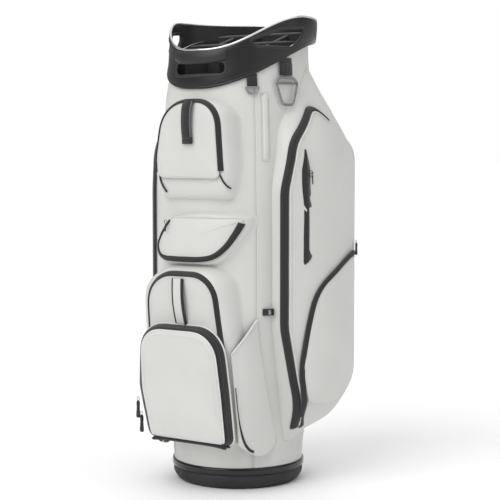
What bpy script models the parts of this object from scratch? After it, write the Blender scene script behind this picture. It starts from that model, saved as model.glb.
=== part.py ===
"""Golf staff bag (cart bag) in metres, +Z up.

The origin is the centre of the flat underside of the base. -Y is the front, where the small
pockets are stacked; +X and -X are the apparel pockets; +Y is the spine with the strap.
Every pocket panel is built lying in its own frame: u across, v up, w outwards.
"""

from math import atan2, cos, degrees, hypot, pi, radians, sin, tan

import bmesh
import bpy
from mathutils import Vector

# ---------------------------------------------------------------- driving dimensions
GAP = 0.0004          # clearance between pieces that touch
CLOTH_GAP = 0.0014    # clearance between a pocket and the curved shell behind it
WALL = 0.004          # shell wall
BASE_R = 0.127
BASE_H = 0.028
BAND_H = 0.014
SHELL_Z = BASE_H + BAND_H + GAP
RIM_FRONT_Z = 0.831
RIM_BACK_Z = 0.896
CUFF_FRONT_Z = 0.761
CUFF_RISE = 0.093     # how much higher the cuff's lower edge is at the back
CUFF_WALL = 0.005
SEGMENTS = 48

# z, half width, front reach, back reach, squareness of the shell's plan
STATIONS = [
    (0.000, 0.1265, 0.1265, 0.1265, 2.0),
    (0.070, 0.1270, 0.1275, 0.1280, 2.0),
    (0.120, 0.1290, 0.1370, 0.1320, 2.3),
    (0.200, 0.1320, 0.1500, 0.1380, 2.6),
    (0.320, 0.1340, 0.1560, 0.1440, 2.8),
    (0.440, 0.1340, 0.1520, 0.1480, 2.8),
    (0.600, 0.1340, 0.1430, 0.1510, 2.7),
    (0.740, 0.1340, 0.1360, 0.1540, 2.25),
    (0.820, 0.1340, 0.1300, 0.1560, 1.85),
    (0.920, 0.1340, 0.1280, 0.1560, 1.85),
]

MATERIALS = {
    "leather": ((0.80, 0.80, 0.78), 0.50, 0.0),
    "black_fabric": ((0.018, 0.018, 0.020), 0.75, 0.0),
    "black_plastic": ((0.028, 0.028, 0.031), 0.38, 0.0),
    "base_rubber": ((0.045, 0.045, 0.048), 0.60, 0.0),
    "gunmetal": ((0.40, 0.40, 0.41), 0.25, 1.0),
    "lining": ((0.03, 0.03, 0.034), 0.85, 0.0),
    "fibreglass": ((0.10, 0.10, 0.10), 0.45, 0.0),
}


# ---------------------------------------------------------------- small maths
def smooth(t):
    t = max(0.0, min(1.0, t))
    return t * t * (3 - 2 * t)


def station(z):
    """Half width, front, back and squareness of the shell at height z, by Catmull-Rom."""
    rows = STATIONS
    i = max(k for k in range(len(rows) - 1) if z >= rows[k][0] or k == 0)
    near = [rows[max(0, min(len(rows) - 1, k))] for k in (i - 1, i, i + 1, i + 2)]
    t = (z - near[1][0]) / (near[2][0] - near[1][0])
    made = []
    for column in range(1, 5):
        a, b, c, d = (row[column] for row in near)
        made.append(b + 0.5 * t * (c - a + t * (2 * a - 5 * b + 4 * c - d
                                                + t * (3 * (b - c) + d - a))))
    return made


def shell_radius(angle, z):
    """Distance from the bag's axis to the shell's outside. Angle 0 is the front, 90 is +X."""
    half, front, back, power = station(z)
    reach = front if cos(angle) > 0 else back
    total = abs(sin(angle) / half) ** power + abs(cos(angle) / reach) ** power
    return total ** (-1 / power)


def shell_front(x, z):
    """How far in front of the axis the shell stands at x."""
    half, front, _, power = station(z)
    return front * max(0.0, 1 - abs(x / half) ** power) ** (1 / power)


def shell_back(x, z):
    """How far behind the axis the shell stands at x."""
    half, _, back, power = station(z)
    return back * max(0.0, 1 - abs(x / half) ** power) ** (1 / power)


def shell_side(y, z):
    """Half width of the shell at y."""
    half, front, back, power = station(z)
    reach = front if y < 0 else back
    return half * max(0.0, 1 - abs(y / reach) ** power) ** (1 / power)


def rim_z(angle):
    t = min(1.0, max(0.0, (abs(degrees(angle)) - 5) / 90))
    return RIM_FRONT_Z + (RIM_BACK_Z - RIM_FRONT_Z) * sin(pi / 2 * t) ** 2.2


def cuff_z(angle):
    return CUFF_FRONT_Z + CUFF_RISE * smooth((abs(degrees(angle)) - 5) / 120)


def cuff_radius(angle, z):
    """Outside of the cuff: it follows the shell and flares towards the rim at its back half."""
    flare = 0.012 * smooth((abs(degrees(angle)) - 60) / 50)
    return shell_radius(angle, z) + GAP + CUFF_WALL + flare * smooth((z - 0.79) / 0.09)


def around(angle, radius, z):
    return Vector((radius * sin(angle), -radius * cos(angle), z))


def ring_angles(count=SEGMENTS):
    """Angles round the axis, front first, each between -180 and 180 degrees."""
    return [((2 * pi * k / count + pi) % (2 * pi)) - pi for k in range(count)]


def rounded(corners, steps=4):
    """Closed outline through (u, v, radius) corners, anticlockwise, each radius as an arc."""
    made = []
    count = len(corners)
    for k, (u, v, radius) in enumerate(corners):
        here = Vector((u, v))
        before = (Vector(corners[k - 1][:2]) - here).normalized()
        after = (Vector(corners[(k + 1) % count][:2]) - here).normalized()
        if radius <= 0:
            made.append((u, v))
            continue
        half = before.angle(after) / 2
        centre = here + (before + after).normalized() * (radius / sin(half))
        first = here + before * (radius / tan(half)) - centre
        last = here + after * (radius / tan(half)) - centre
        start = atan2(first.y, first.x)
        sweep = (atan2(last.y, last.x) - start + pi) % (2 * pi) - pi
        for i in range(steps + 1):
            turn = start + sweep * i / steps
            made.append((centre.x + radius * cos(turn), centre.y + radius * sin(turn)))
    return made


def dense(outline, step):
    """The outline with extra points so that no side is longer than step."""
    made = []
    for (u0, v0), (u1, v1) in zip(outline, outline[1:] + outline[:1]):
        parts = max(1, int(hypot(u1 - u0, v1 - v0) / step + 0.5))
        for i in range(parts):
            made.append((u0 + (u1 - u0) * i / parts, v0 + (v1 - v0) * i / parts))
    return made


def grown(outline, centre, across, up):
    """The outline stretched about centre so that its sides move out by these distances."""
    wide = max(abs(u - centre[0]) for u, _ in outline)
    high = max(abs(v - centre[1]) for _, v in outline)
    return [(centre[0] + (u - centre[0]) * (1 + across / wide),
             centre[1] + (v - centre[1]) * (1 + up / high)) for u, v in outline]


# ---------------------------------------------------------------- object helpers
def clear_scene():
    for obj in list(bpy.data.objects):
        bpy.data.objects.remove(obj)


def make_materials():
    for name, (colour, roughness, metallic) in MATERIALS.items():
        material = bpy.data.materials.new(name)
        material.use_nodes = True
        shader = material.node_tree.nodes["Principled BSDF"]
        shader.inputs["Base Color"].default_value = (*colour, 1)
        shader.inputs["Roughness"].default_value = roughness
        shader.inputs["Metallic"].default_value = metallic


def add_object(name, bm, material, at=(0, 0, 0), turn=(0, 0, 0), sharp=40):
    bmesh.ops.recalc_face_normals(bm, faces=bm.faces)
    if bm.calc_volume(signed=True) < 0:
        bmesh.ops.reverse_faces(bm, faces=bm.faces)
    mesh = bpy.data.meshes.new(name)
    bm.to_mesh(mesh)
    bm.free()
    mesh.shade_smooth()
    mesh.set_sharp_from_angle(angle=radians(sharp))
    mesh.materials.append(bpy.data.materials[material])
    obj = bpy.data.objects.new(name, mesh)
    obj.location = at
    obj.rotation_euler = turn
    bpy.context.scene.collection.objects.link(obj)
    return obj


def loops_solid(name, loops, material, at=(0, 0, 0), turn=(0, 0, 0), sharp=40):
    """Closed solid through loops of equal length, its first and last loop closed by a fan."""
    bm = bmesh.new()
    rows = [[bm.verts.new(p) for p in loop] for loop in loops]
    count = len(rows[0])
    for low, high in zip(rows, rows[1:]):
        for k in range(count):
            bm.faces.new((low[k], low[(k + 1) % count], high[(k + 1) % count], high[k]))
    for row in (rows[0], rows[-1]):
        middle = bm.verts.new(sum((v.co for v in row), Vector()) / count)
        for k in range(count):
            bm.faces.new((row[k], row[(k + 1) % count], middle))
    return add_object(name, bm, material, at, turn, sharp)


def ring_solid(name, loops, material, at=(0, 0, 0), turn=(0, 0, 0), sharp=40):
    """Closed ring: the last loop joins the first, so the solid has a hole through it."""
    bm = bmesh.new()
    rows = [[bm.verts.new(p) for p in loop] for loop in loops]
    count = len(rows[0])
    for k, row in enumerate(rows):
        after = rows[(k + 1) % len(rows)]
        for i in range(count):
            j = (i + 1) % count
            bm.faces.new((row[i], row[j], after[j], after[i]))
    return add_object(name, bm, material, at, turn, sharp)


def flat_loop(outline, w):
    """An outline in (u, v) at outward distance w, in a panel's own frame."""
    return [Vector((u, -(w(u, v) if callable(w) else w), v)) for u, v in outline]


def block(name, size, material, at, turn=(0, 0, 0), bevel=0.0):
    """A box centred on its own origin."""
    bm = bmesh.new()
    bmesh.ops.create_cube(bm, size=1)
    bmesh.ops.scale(bm, verts=bm.verts, vec=size)
    obj = add_object(name, bm, material, at, turn)
    if bevel:
        edge = obj.modifiers.new("edge", "BEVEL")
        edge.width = bevel
        edge.segments = 1
    return obj


def cutter(obj):
    obj.hide_render = True
    obj.display_type = "WIRE"
    return obj


def cut(obj, tool):
    change = obj.modifiers.new("cut_" + tool.name, "BOOLEAN")
    change.operation = "DIFFERENCE"
    change.object = cutter(tool)
    return obj


def prism(name, outline, low, high, at=(0, 0, 0), turn=(0, 0, 0), material="lining"):
    """The outline pushed from outward distance low to high."""
    return loops_solid(name, [flat_loop(outline, low), flat_loop(outline, high)],
                       material, at, turn)


def pocket_frame(name, outline, sole, centre, section, at, turn=(0, 0, 0), put=flat_loop):
    """Sewn frame of a pocket, open through: section lists (across, up, w, follows the sole)."""
    loops = []
    for across, up, w, low in section:
        loops.append(put(grown(sole if low else outline, centre, across, up), w))
    return ring_solid(name, loops, "leather", at, turn)


# ---------------------------------------------------------------- base, shell and cuff
def make_base():
    """Moulded rubber foot with a chamfered heel and a plug that carries the shell."""
    plug_r = 0.113
    profile = [(0.104, 0.0), (0.119, 0.007), (BASE_R, 0.017), (BASE_R, BASE_H),
               (plug_r, BASE_H), (plug_r, SHELL_Z + 0.006)]
    loops = [[around(a, r, z) for a in ring_angles()] for r, z in profile]
    loops_solid("base_foot", loops, "base_rubber", sharp=25)

    outer, inner = BASE_R + 0.0012, plug_r + GAP
    low, high = BASE_H + GAP, BASE_H + BAND_H
    section = [(outer, low), (outer, high), (inner, high), (inner, low)]
    ring_solid("base_band", [[around(a, r, z) for a in ring_angles()] for r, z in section],
               "black_fabric", sharp=25)


SHELL_PANELS = (("front", -48, 48), ("right", 48, 132), ("back", 132, 228), ("left", 228, 312))
SHELL_SHARES = (0.0, 0.05, 0.09, 0.13, 0.20, 0.32, 0.48, 0.64, 0.80, 0.92, 1.0)


def panel_solid(name, outer, inner, material, sharp=40):
    """Closed solid between two grids of points of the same size."""
    bm = bmesh.new()
    skins = [[[bm.verts.new(p) for p in line] for line in grid] for grid in (outer, inner)]
    face, lining = skins
    last = len(outer) - 1
    high = len(outer[0]) - 1
    for k in range(last):
        for i in range(high):
            for grid in skins:
                bm.faces.new((grid[k][i], grid[k + 1][i], grid[k + 1][i + 1], grid[k][i + 1]))
        for i in (0, high):
            bm.faces.new((face[k][i], face[k + 1][i], lining[k + 1][i], lining[k][i]))
    for k in (0, last):
        for i in range(high):
            bm.faces.new((face[k][i], face[k][i + 1], lining[k][i + 1], lining[k][i]))
    return add_object(name, bm, material, sharp=sharp)


def make_shell_panel(name, first, last):
    """One sewn panel of the white tube, from its foot to just under the cuff."""
    steps = 12
    seam = degrees(GAP / BASE_R) / 2
    angles = [first + seam + (last - first - 2 * seam) * k / steps for k in range(steps + 1)]
    skins = []
    for inset in (0.0, WALL):
        grid = []
        for degree in angles:
            a = radians((degree + 180) % 360 - 180)
            heights = [SHELL_Z + (cuff_z(a) + 0.012 - SHELL_Z) * share for share in SHELL_SHARES]
            grid.append([around(a, shell_radius(a, z) - inset, z) for z in heights])
        skins.append(grid)
    panel_solid(f"{name}_shell_panel", skins[0], skins[1], "leather", sharp=50)


def make_shell():
    """The white tube that everything is sewn to, open at the top."""
    for name, first, last in SHELL_PANELS:
        make_shell_panel(name, first, last)


def window_corners():
    """Side hand hole, u towards the back, v is height."""
    return [(-0.058, 0.849, 0.002), (-0.044, 0.837, 0.012), (0.030, 0.836, 0.014),
            (0.056, 0.860, 0.010), (0.060, 0.878, 0.004), (0.000, 0.872, 0.030)]


def make_cuff():
    """Moulded top cuff with a hand hole at the front and one at each side."""
    angles = ring_angles(72)
    shares = [0.0, 0.08, 0.5, 0.93, 1.0]
    rounding = [0.0016, 0.0, 0.0, 0.0, 0.0016]

    def loop(share, inset):
        made = []
        for a in angles:
            z = cuff_z(a) + (rim_z(a) - cuff_z(a)) * share
            made.append(around(a, cuff_radius(a, z) - inset, z))
        return made

    outside = [loop(s, r) for s, r in zip(shares, rounding)]
    inside = [loop(s, CUFF_WALL - r) for s, r in zip(reversed(shares), reversed(rounding))]
    cuff = ring_solid("top_cuff", outside + inside, "black_plastic", sharp=50)

    front = rounded([(-0.060, 0.784, 0.010), (0.060, 0.784, 0.010),
                     (0.056, 0.811, 0.006), (-0.056, 0.811, 0.006)])
    cut(cuff, prism("front_hole", front, 0.10, 0.16))
    for side, name in ((1, "right"), (-1, "left")):
        outline = [(u * side, v) for u, v in rounded(window_corners())]
        turn = (0, 0, side * radians(70))
        cut(cuff, prism(name + "_hole", outline, 0.09, 0.17, turn=turn))


def make_rim_trim():
    """Glossy lip pressed over the cuff's edge."""
    angles = ring_angles(72)

    def loop(inset, rise):
        return [around(a, cuff_radius(a, rim_z(a)) - inset, rim_z(a) + rise) for a in angles]

    ring_solid("rim_trim", [loop(0.0010, GAP), loop(0.0010, 0.0022), loop(0.0022, 0.0034),
                            loop(0.0036, 0.0034), loop(0.0044, 0.0022), loop(0.0044, GAP)],
               "black_plastic")


def make_grip(name, middle, reach, low_drop, high_drop):
    """Padded hand grip on the outside of the cuff's bridge over a hand hole."""
    steps = 12
    thick = 0.006
    outline_rows = []
    for i in range(steps + 1):
        a = radians(middle - reach + 2 * reach * i / steps)
        ends = smooth(min(i, steps - i) / 2 + 0.35)
        high, low = rim_z(a) - high_drop, rim_z(a) - low_drop
        part = thick * ends
        row = []
        for out, z in ((0.0, high), (0.8, high - 0.002), (1.0, (high + low) / 2),
                       (0.8, low + 0.002), (0.0, low)):
            row.append(around(a, cuff_radius(a, z) + GAP + 0.0010 + part * out, z))
        outline_rows.append(row)
    loops_solid(name, outline_rows, "black_plastic")


# ---------------------------------------------------------------- dividers and stays
WALL_YS = (-0.052, 0.014, 0.080)
COLUMN_XS = (-0.064, 0.0, 0.064)
BACK_ROW_XS = (-0.057, 0.0, 0.057)
FRONT_ROW_XS = (-0.038, 0.038)
ROW_XS = (FRONT_ROW_XS, COLUMN_XS, COLUMN_XS, BACK_ROW_XS)
SHEET = 0.003
DIVIDER_Z = SHELL_Z + 0.008


def divider_top(y):
    """The dividers step up towards the back, under the sloping rim."""
    return 0.815 + 0.062 * smooth((y + 0.12) / 0.24)


def sheet(name, foot, head):
    """A thin upright sheet from its two foot points to its two head points."""
    along = (Vector(foot[1]) - Vector(foot[0])).normalized()
    side = Vector((along.y, -along.x, 0)) * (SHEET / 2)
    loops = []
    for near, far in (foot, head):
        near, far = Vector(near), Vector(far)
        loops.append([near - side, near + side, far + side, far - side])
    loops_solid(name, loops, "lining")


def make_dividers():
    """Full-length divider sheets: three walls across, and partitions between them."""
    for k, y in enumerate(WALL_YS):
        high = divider_top(y)
        # the shell widens upwards, so the wall is cut to a trapezoid
        low_half = shell_side(y, SHELL_Z) - WALL - 0.003
        high_half = shell_side(y, high) - WALL - 0.003
        sheet(f"divider_wall_{k + 1}", ((-low_half, y, DIVIDER_Z), (low_half, y, DIVIDER_Z)),
              ((-high_half, y, high), (high_half, y, high)))
    for row in range(4):
        near = WALL_YS[row - 1] + SHEET / 2 + GAP
        far = WALL_YS[row] - SHEET / 2 - GAP if row < 3 else None
        for column, x in enumerate(ROW_XS[row]):
            rim = 0.824 if row == 0 else divider_top(near)
            spans = []
            for z in (DIVIDER_Z, rim):
                edge_near = -shell_front(x, z) + WALL + 0.003 if row == 0 else near
                edge_far = shell_back(x, z) - WALL - 0.003 if row == 3 else far
                spans.append((edge_near, edge_far))
            (near0, far0), (near1, far1) = spans
            tops = [divider_top(y) - 0.003 for y in (near1, far1)]
            sheet(f"divider_sheet_{row + 1}_{column + 1}",
                  ((x, near0, DIVIDER_Z), (x, far0, DIVIDER_Z)),
                  ((x, near1, tops[0]), (x, far1, tops[1])))


def make_stays():
    """Fibreglass stays that hold the cuff up from the base."""
    radius = 0.0035
    for name, side, y in (("stay_front_right", 1, -0.020), ("stay_front_left", -1, -0.020),
                          ("stay_back_right", 1, 0.048), ("stay_back_left", -1, 0.048)):
        x = side * (shell_side(y, SHELL_Z) - WALL - radius - 0.001)
        bm = bmesh.new()
        bmesh.ops.create_cone(bm, cap_ends=True, segments=10, radius1=radius, radius2=radius,
                              depth=0.832 - DIVIDER_Z)
        add_object(name, bm, "fibreglass", (x, y, (0.832 + DIVIDER_Z) / 2))


# ---------------------------------------------------------------- front pockets
FINDER_FACE = 0.164   # the rangefinder pocket's front face is this far before the axis
FINDER_Z = 0.592      # its lid's hinge line
LID = 0.006

VALUABLES_Z = 0.520   # the valuables flap's hinge line
VALUABLES_FACE = 0.160

LOW_Y = -0.141        # foot of the sloping lower pockets
LOW_Z = 0.099
LOW_TILT = radians(8)


def finder_outline():
    """Lid of the rangefinder pocket: round shouldered, hinged along v = 0."""
    return rounded([(-0.076, 0.0, 0.010), (0.076, 0.0, 0.010),
                    (0.070, 0.143, 0.052), (-0.070, 0.143, 0.052)])


def crowned(outline, centre, back, front, crown):
    """Loops of a lid whose face swells by crown in the middle."""
    loops = [flat_loop(outline, back), flat_loop(outline, front - 0.0015)]
    for inset, rise in ((0.0025, 0.0), (0.016, 0.65), (0.036, 1.0)):
        loops.append(flat_loop(grown(outline, centre, -inset, -inset), front + crown * rise))
    return loops


def make_finder_pocket():
    outline = dense(finder_outline(), 0.016)
    centre = (0, 0.066)

    def behind(u, v):
        return shell_front(u, FINDER_Z + v) + CLOTH_GAP - FINDER_FACE

    at = (0, -FINDER_FACE, FINDER_Z)
    sole = [(u, v if v > 0.02 else v - 0.036 * (1 - v / 0.02)) for u, v in outline]
    section = [(-0.007, -0.007, behind, False), (-0.007, -0.007, -0.0015, False),
               (-0.004, -0.004, 0.0, False), (0.0, 0.0, 0.0, True), (0.003, 0.002, -0.003, True),
               (0.013, 0.004, -0.016, True), (0.019, 0.006, behind, True),
               (0.010, 0.003, behind, True)]
    pocket_frame("rangefinder_pocket", outline, sole, centre, section, at)
    lid_at = (0, -FINDER_FACE - GAP - LID, FINDER_Z)
    loops_solid("rangefinder_lid", crowned(outline, centre, -LID, 0.0, 0.005), "leather", lid_at)


def valuables_outline():
    """Flap of the valuables pocket: v = 0 is its top seam, and its zip sweeps round below."""
    return rounded([(-0.040, 0.0, 0.016), (-0.080, -0.052, 0.018), (-0.066, -0.083, 0.016),
                    (0.062, -0.083, 0.034), (0.098, -0.030, 0.014), (0.110, 0.0, 0.004)])


def make_valuables():
    """A slim pocket that wraps the front: a shallow tray and a flap hinged at its top."""
    outline = dense(valuables_outline(), 0.014)
    centre = (0.012, -0.038)
    depth = 0.012

    def shell(u, v, z):
        return shell_front(u, z + v)

    def behind(u, v):
        return shell(u, v, VALUABLES_Z) + CLOTH_GAP - VALUABLES_FACE

    def face(u, v):
        return shell(u * 0.97, v, VALUABLES_Z) + CLOTH_GAP + depth - VALUABLES_FACE

    at = (0, -VALUABLES_FACE, VALUABLES_Z)
    section = [(-0.008, -0.008, behind, False), (-0.008, -0.008, face, False),
               (-0.002, -0.002, face, False), (0.004, 0.005, face, False),
               (0.006, 0.007, lambda u, v: face(u, v) - 0.002, False),
               (0.006, 0.007, behind, False), (0.0, 0.0, behind, False)]
    pocket_frame("valuables_pocket", outline, outline, centre, section, at)
    steps = (-0.060, -0.030, -0.012)

    def under(u, v):
        return face(u, v) + GAP + 0.0006

    def over(rise):
        return lambda u, v: face(u, v) + LID * 0.8 + rise

    back = [flat_loop(grown(outline, centre, s, s * 0.6), under) for s in steps]
    front = [flat_loop(grown(outline, centre, s, s * 0.6), over(r))
             for s, r in zip(reversed(steps), (0.0015, 0.003, 0.004))]
    loops_solid("valuables_flap", [*back, flat_loop(outline, under), flat_loop(outline, over(0.0)),
                                   *front], "leather", at)


def arch_outline():
    return rounded([(-0.082, 0.0, 0.012), (0.082, 0.0, 0.012), (0.085, 0.180, 0.010),
                    (0.078, 0.320, 0.045), (-0.078, 0.320, 0.062), (-0.085, 0.180, 0.010)])


def low_outline():
    """Panel of the lower front pocket, wider than the arch lid that carries it."""
    return rounded([(-0.082, 0.004, 0.006), (0.090, 0.004, 0.004), (0.089, 0.100, 0.080),
                    (0.084, 0.218, 0.048), (-0.088, 0.218, 0.048), (-0.095, 0.100, 0.060)])


def make_low_pockets():
    """Ball pocket with an arched lid, and the lower front pocket that the lid carries."""
    turn = (LOW_TILT, 0, 0)
    at = (0, LOW_Y, LOW_Z)
    outline = dense(arch_outline(), 0.017)
    centre = (0, 0.150)

    def behind(u, v):
        # the shell's surface seen along the tilted panel's normal, found in two steps
        w = 0.0
        for _ in range(4):
            z = LOW_Z + v * cos(LOW_TILT) - w * sin(LOW_TILT)
            y = -shell_front(u, z) - CLOTH_GAP - 0.0006
            w = (LOW_Y - v * sin(LOW_TILT) - y) / cos(LOW_TILT)
        return min(w, -0.0015)

    def shoulder(u, v):
        return max(behind(u, v) * 0.4, -0.012)

    section = [(-0.008, -0.007, behind, False), (-0.008, -0.007, -0.0015, False),
               (-0.005, -0.004, -GAP, False), (0.0, 0.0, -GAP, False),
               (0.003, 0.003, -0.003, False), (0.011, 0.006, shoulder, False),
               (0.019, 0.009, behind, False), (0.009, 0.004, behind, False)]
    pocket_frame("ball_pocket", outline, outline, centre, section, at, turn)

    loops_solid("ball_lid", crowned(outline, centre, 0.0, LID, 0.0), "leather", at, turn)

    low = dense(low_outline(), 0.020)
    middle = (0, 0.106)
    out, deep = LID + GAP, 0.020
    section = [(-0.004, -0.004, out, False), (-0.004, -0.004, out + deep, False),
               (0.0, 0.0, out + deep, False), (0.006, 0.004, out + deep * 0.6, False),
               (0.008, 0.005, out, False)]
    gusset = pocket_frame("front_pocket_gusset", low, low, middle, section, at, turn)
    gusset.data.materials[0] = bpy.data.materials["black_fabric"]
    hinge_w = out + deep + GAP
    lid_at = (0, LOW_Y - hinge_w * cos(LOW_TILT), LOW_Z - hinge_w * sin(LOW_TILT))
    loops_solid("front_pocket_lid", crowned(low, middle, 0.0, LID, 0.006), "leather", lid_at, turn)


# ---------------------------------------------------------------- side pockets
SIDE_FACE = 0.176     # half width at the door's hinge
DOOR_Y = 0.124        # the door's hinge line along the back edge
DOOR = 0.010
SIDE_LOW_Z = 0.130


def side_turn(side):
    """Turns a panel's own frame so that w points to +X or -X."""
    return (0, 0, side * pi / 2)


def bow(u, v):
    """The pocket bellies out, and draws in at its front edge, its foot and its shoulder."""
    belly = 0.009 * (1 - (min(0.0, u + 0.065) / 0.065) ** 2)
    return belly - 3.7 * max(0.0, 0.070 - v) ** 2 - 3.0 * max(0.0, v - 0.490) ** 2


def door_outline():
    """Door of an apparel pocket: u runs forwards from the hinge as a negative number."""
    return rounded([(0.003, 0.075, 0.045), (0.003, 0.520, 0.040), (-0.100, 0.604, 0.016),
                    (-0.173, 0.530, 0.060), (-0.191, 0.440, 0.060), (-0.191, 0.180, 0.060),
                    (-0.170, 0.070, 0.080), (-0.148, -0.020, 0.012), (-0.128, -0.020, 0.020),
                    (-0.060, 0.004, 0.040)][::-1], 3)


def lower_outline():
    """Lower zipped pocket on the door, below its sweeping zip."""
    return rounded([(-0.012, 0.080, 0.040), (-0.012, 0.318, 0.008), (-0.126, 0.258, 0.026),
                    (-0.152, 0.190, 0.060), (-0.170, 0.104, 0.014), (-0.150, 0.036, 0.016),
                    (-0.072, 0.030, 0.040)][::-1], 3)


def make_side(side, name):
    turn = side_turn(side)
    outline = dense(door_outline(), 0.026)
    centre = (-0.096, 0.300)
    at = (side * SIDE_FACE, DOOR_Y, SIDE_LOW_Z)

    def shell(u, v):
        return shell_side(DOOR_Y + u, SIDE_LOW_Z + v) + CLOTH_GAP - SIDE_FACE

    def face(offset):
        return lambda u, v: bow(u, v) + offset

    def wall(u, v):
        return 0.45 * shell(u, v) + 0.55 * bow(u, v)

    def put(points, w):
        return flat_loop([(side * u, v) for u, v in points],
                         (lambda u, v: w(side * u, v)) if callable(w) else w)

    def splay(u, v):
        rise = 0.038 + 0.060 * smooth((u + 0.120) / 0.060)
        return u, v + rise * smooth((v - 0.44) / 0.12) - 0.020 * smooth((0.10 - v) / 0.10)

    sole = [splay(u, v) for u, v in outline]
    section = [(-0.009, -0.014, shell, False), (-0.009, -0.014, face(-0.0015), False),
               (-0.006, -0.010, face(0.0), False), (0.0, 0.0, face(0.0), False),
               (0.002, 0.003, face(-0.004), False), (0.002, 0.000, wall, True),
               (0.002, 0.004, shell, True), (-0.004, -0.008, shell, True)]
    pocket_frame(f"{name}_side_pocket", outline, sole, centre, section, at, turn, put)

    door_at = (side * (SIDE_FACE + 2 * GAP), DOOR_Y, SIDE_LOW_Z)
    steps = (-0.075, -0.050, -0.025)
    skin = DOOR - 0.003

    def stretched(points, middle, grow):
        return grown(points, middle, grow, grow * 1.8)

    loops = [put(stretched(outline, centre, g), face(0.0)) for g in steps]
    loops += [put(grown(outline, centre, -0.009, -0.014), face(0.0)),
              put(grown(outline, centre, -0.006, -0.010), face(0.0)),
              put(outline, face(0.0)), put(outline, face(skin - 0.003))]
    loops += [put(stretched(outline, centre, g), face(skin + r))
              for g, r in ((-0.002, 0.0), (-0.025, 0.002), (-0.050, 0.003), (-0.075, 0.003))]
    loops_solid(f"{name}_side_door", loops, "leather", door_at, turn)

    lower = dense(lower_outline(), 0.024)
    middle = (-0.090, 0.150)
    base = skin + 0.0032 + CLOTH_GAP

    loops = [put(stretched(lower, middle, g), face(base)) for g in (-0.05, -0.025)]
    loops += [put(lower, face(base)), put(lower, face(base + 0.004))]
    loops += [put(stretched(lower, middle, g), face(base + r))
              for g, r in ((-0.003, 0.0065), (-0.020, 0.010), (-0.045, 0.012))]
    loops_solid(f"{name}_lower_pocket", loops, "leather", door_at, turn)


# ---------------------------------------------------------------- hardware
def wire_loop(name, path, radius, material, at, turn, sides=6):
    """A closed wire in the (u, v) plane."""
    bm_loops = []
    count = len(path)
    for k, (u, v) in enumerate(path):
        u0, v0 = path[k - 1]
        u1, v1 = path[(k + 1) % count]
        along = Vector((u1 - u0, 0, v1 - v0)).normalized()
        across = Vector((along.z, 0, -along.x))
        bm_loops.append([Vector((u, 0, v)) + across * (radius * cos(2 * pi * i / sides))
                         + Vector((0, radius * sin(2 * pi * i / sides), 0))
                         for i in range(sides)])
    return ring_solid(name, bm_loops, material, at, turn)


def on_shell(angle, z, out):
    """Place and turn of a piece standing on the shell, facing straight out from it."""
    r = shell_radius(angle, z) + out
    return around(angle, r, z), (0, 0, angle)


def lug(name, angle, z, high, wide, thick, material, out=0.0018, steps=3):
    """A flat piece sewn to the shell, following it; its centre is at height z."""
    rows = []
    half = wide / 2 / shell_radius(angle, z)
    for k in range(steps + 1):
        level = z + high * (k / steps - 0.5)
        row = [(half, out), (0.0, out), (-half, out)]
        row += [(-half, out + thick * 0.7), (0.0, out + thick), (half, out + thick * 0.7)]
        rows.append([around(angle + a, shell_radius(angle + a, level) + w, level)
                     for a, w in row])
    return loops_solid(name, rows, material)


def make_hardware():
    ring_angle = radians(45.9)
    lug("accessory_tab", ring_angle, 0.7730, 0.0165, 0.021, 0.003, "black_fabric")
    at, turn = on_shell(ring_angle, 0.7622, 0.0052)
    arc = [(0.0118 * cos(pi * k / 8), -0.002 - 0.0104 * sin(pi * k / 8)) for k in range(9)]
    path = [(0.0118, 0.0)] + arc[0:] + [(-0.0118, 0.0), (0.0, 0.0)]
    wire_loop("accessory_ring", path, 0.0016, "gunmetal", at, turn)

    towel = radians(76)
    lug("towel_tab", towel, 0.7955, 0.021, 0.033, 0.003, "black_fabric")
    at, turn = on_shell(towel, 0.7795, 0.0056)
    turn = (radians(-4), 0, turn[2])
    outline = [(-0.019, 0.004), (-0.029, -0.006), (-0.029, -0.011), (-0.015, -0.052),
               (0.015, -0.052), (0.029, -0.011), (0.029, -0.006), (0.019, 0.004)]
    ring = prism("towel_ring", outline, -0.0016, 0.0016, at, turn, "gunmetal")
    window = [(-0.0240, -0.0115), (-0.0108, -0.0475), (0.0108, -0.0475), (0.0240, -0.0115)]
    cut(ring, prism("towel_window", window, -0.01, 0.01, at, turn))
    slot = [(-0.0230, -0.0070), (0.0230, -0.0070), (0.0165, 0.0003), (-0.0165, 0.0003)]
    cut(ring, prism("towel_slot", slot, -0.01, 0.01, at, turn))

    lug("pen_sleeve", radians(56.1), 0.6887, 0.126, 0.0135, 0.004, "leather", steps=8)
    lug("strap_guard", radians(56.6), 0.3428, 0.0125, 0.023, 0.004, "black_plastic")
    make_spine_handle()


def make_spine_handle():
    """Lift handle down the back, a padded strap sewn on at both ends."""
    rows = []
    steps = 12
    for k in range(steps + 1):
        t = k / steps
        z = 0.4315 + 0.207 * t
        out = shell_radius(pi, z) + 0.0018 + 0.030 * sin(pi * t) ** 0.8
        half = 0.014 + 0.002 * sin(pi * t)
        rows.append([Vector((half, out, z)), Vector((-half, out, z)),
                     Vector((-half, out + 0.005, z)), Vector((half, out + 0.005, z))])
    loops_solid("spine_handle", rows, "black_fabric")


def make_front_handle():
    """Grab handle standing off the ball pocket's lid, between its arch and the pocket below."""
    turn = (LOW_TILT, 0, 0)
    at = (0, LOW_Y, LOW_Z)
    rows = []
    steps = 8
    for k in range(steps + 1):
        t = k / steps
        v = 0.228 + 0.086 * t
        w = LID + 0.0012 + 0.007 * sin(pi * t)
        half = 0.0135
        rows.append([Vector((half - 0.004, -w, v)), Vector((-half - 0.004, -w, v)),
                     Vector((-half - 0.004, -w - 0.003, v)), Vector((half - 0.004, -w - 0.003, v))])
    loops_solid("front_handle", rows, "leather", at, turn)


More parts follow.
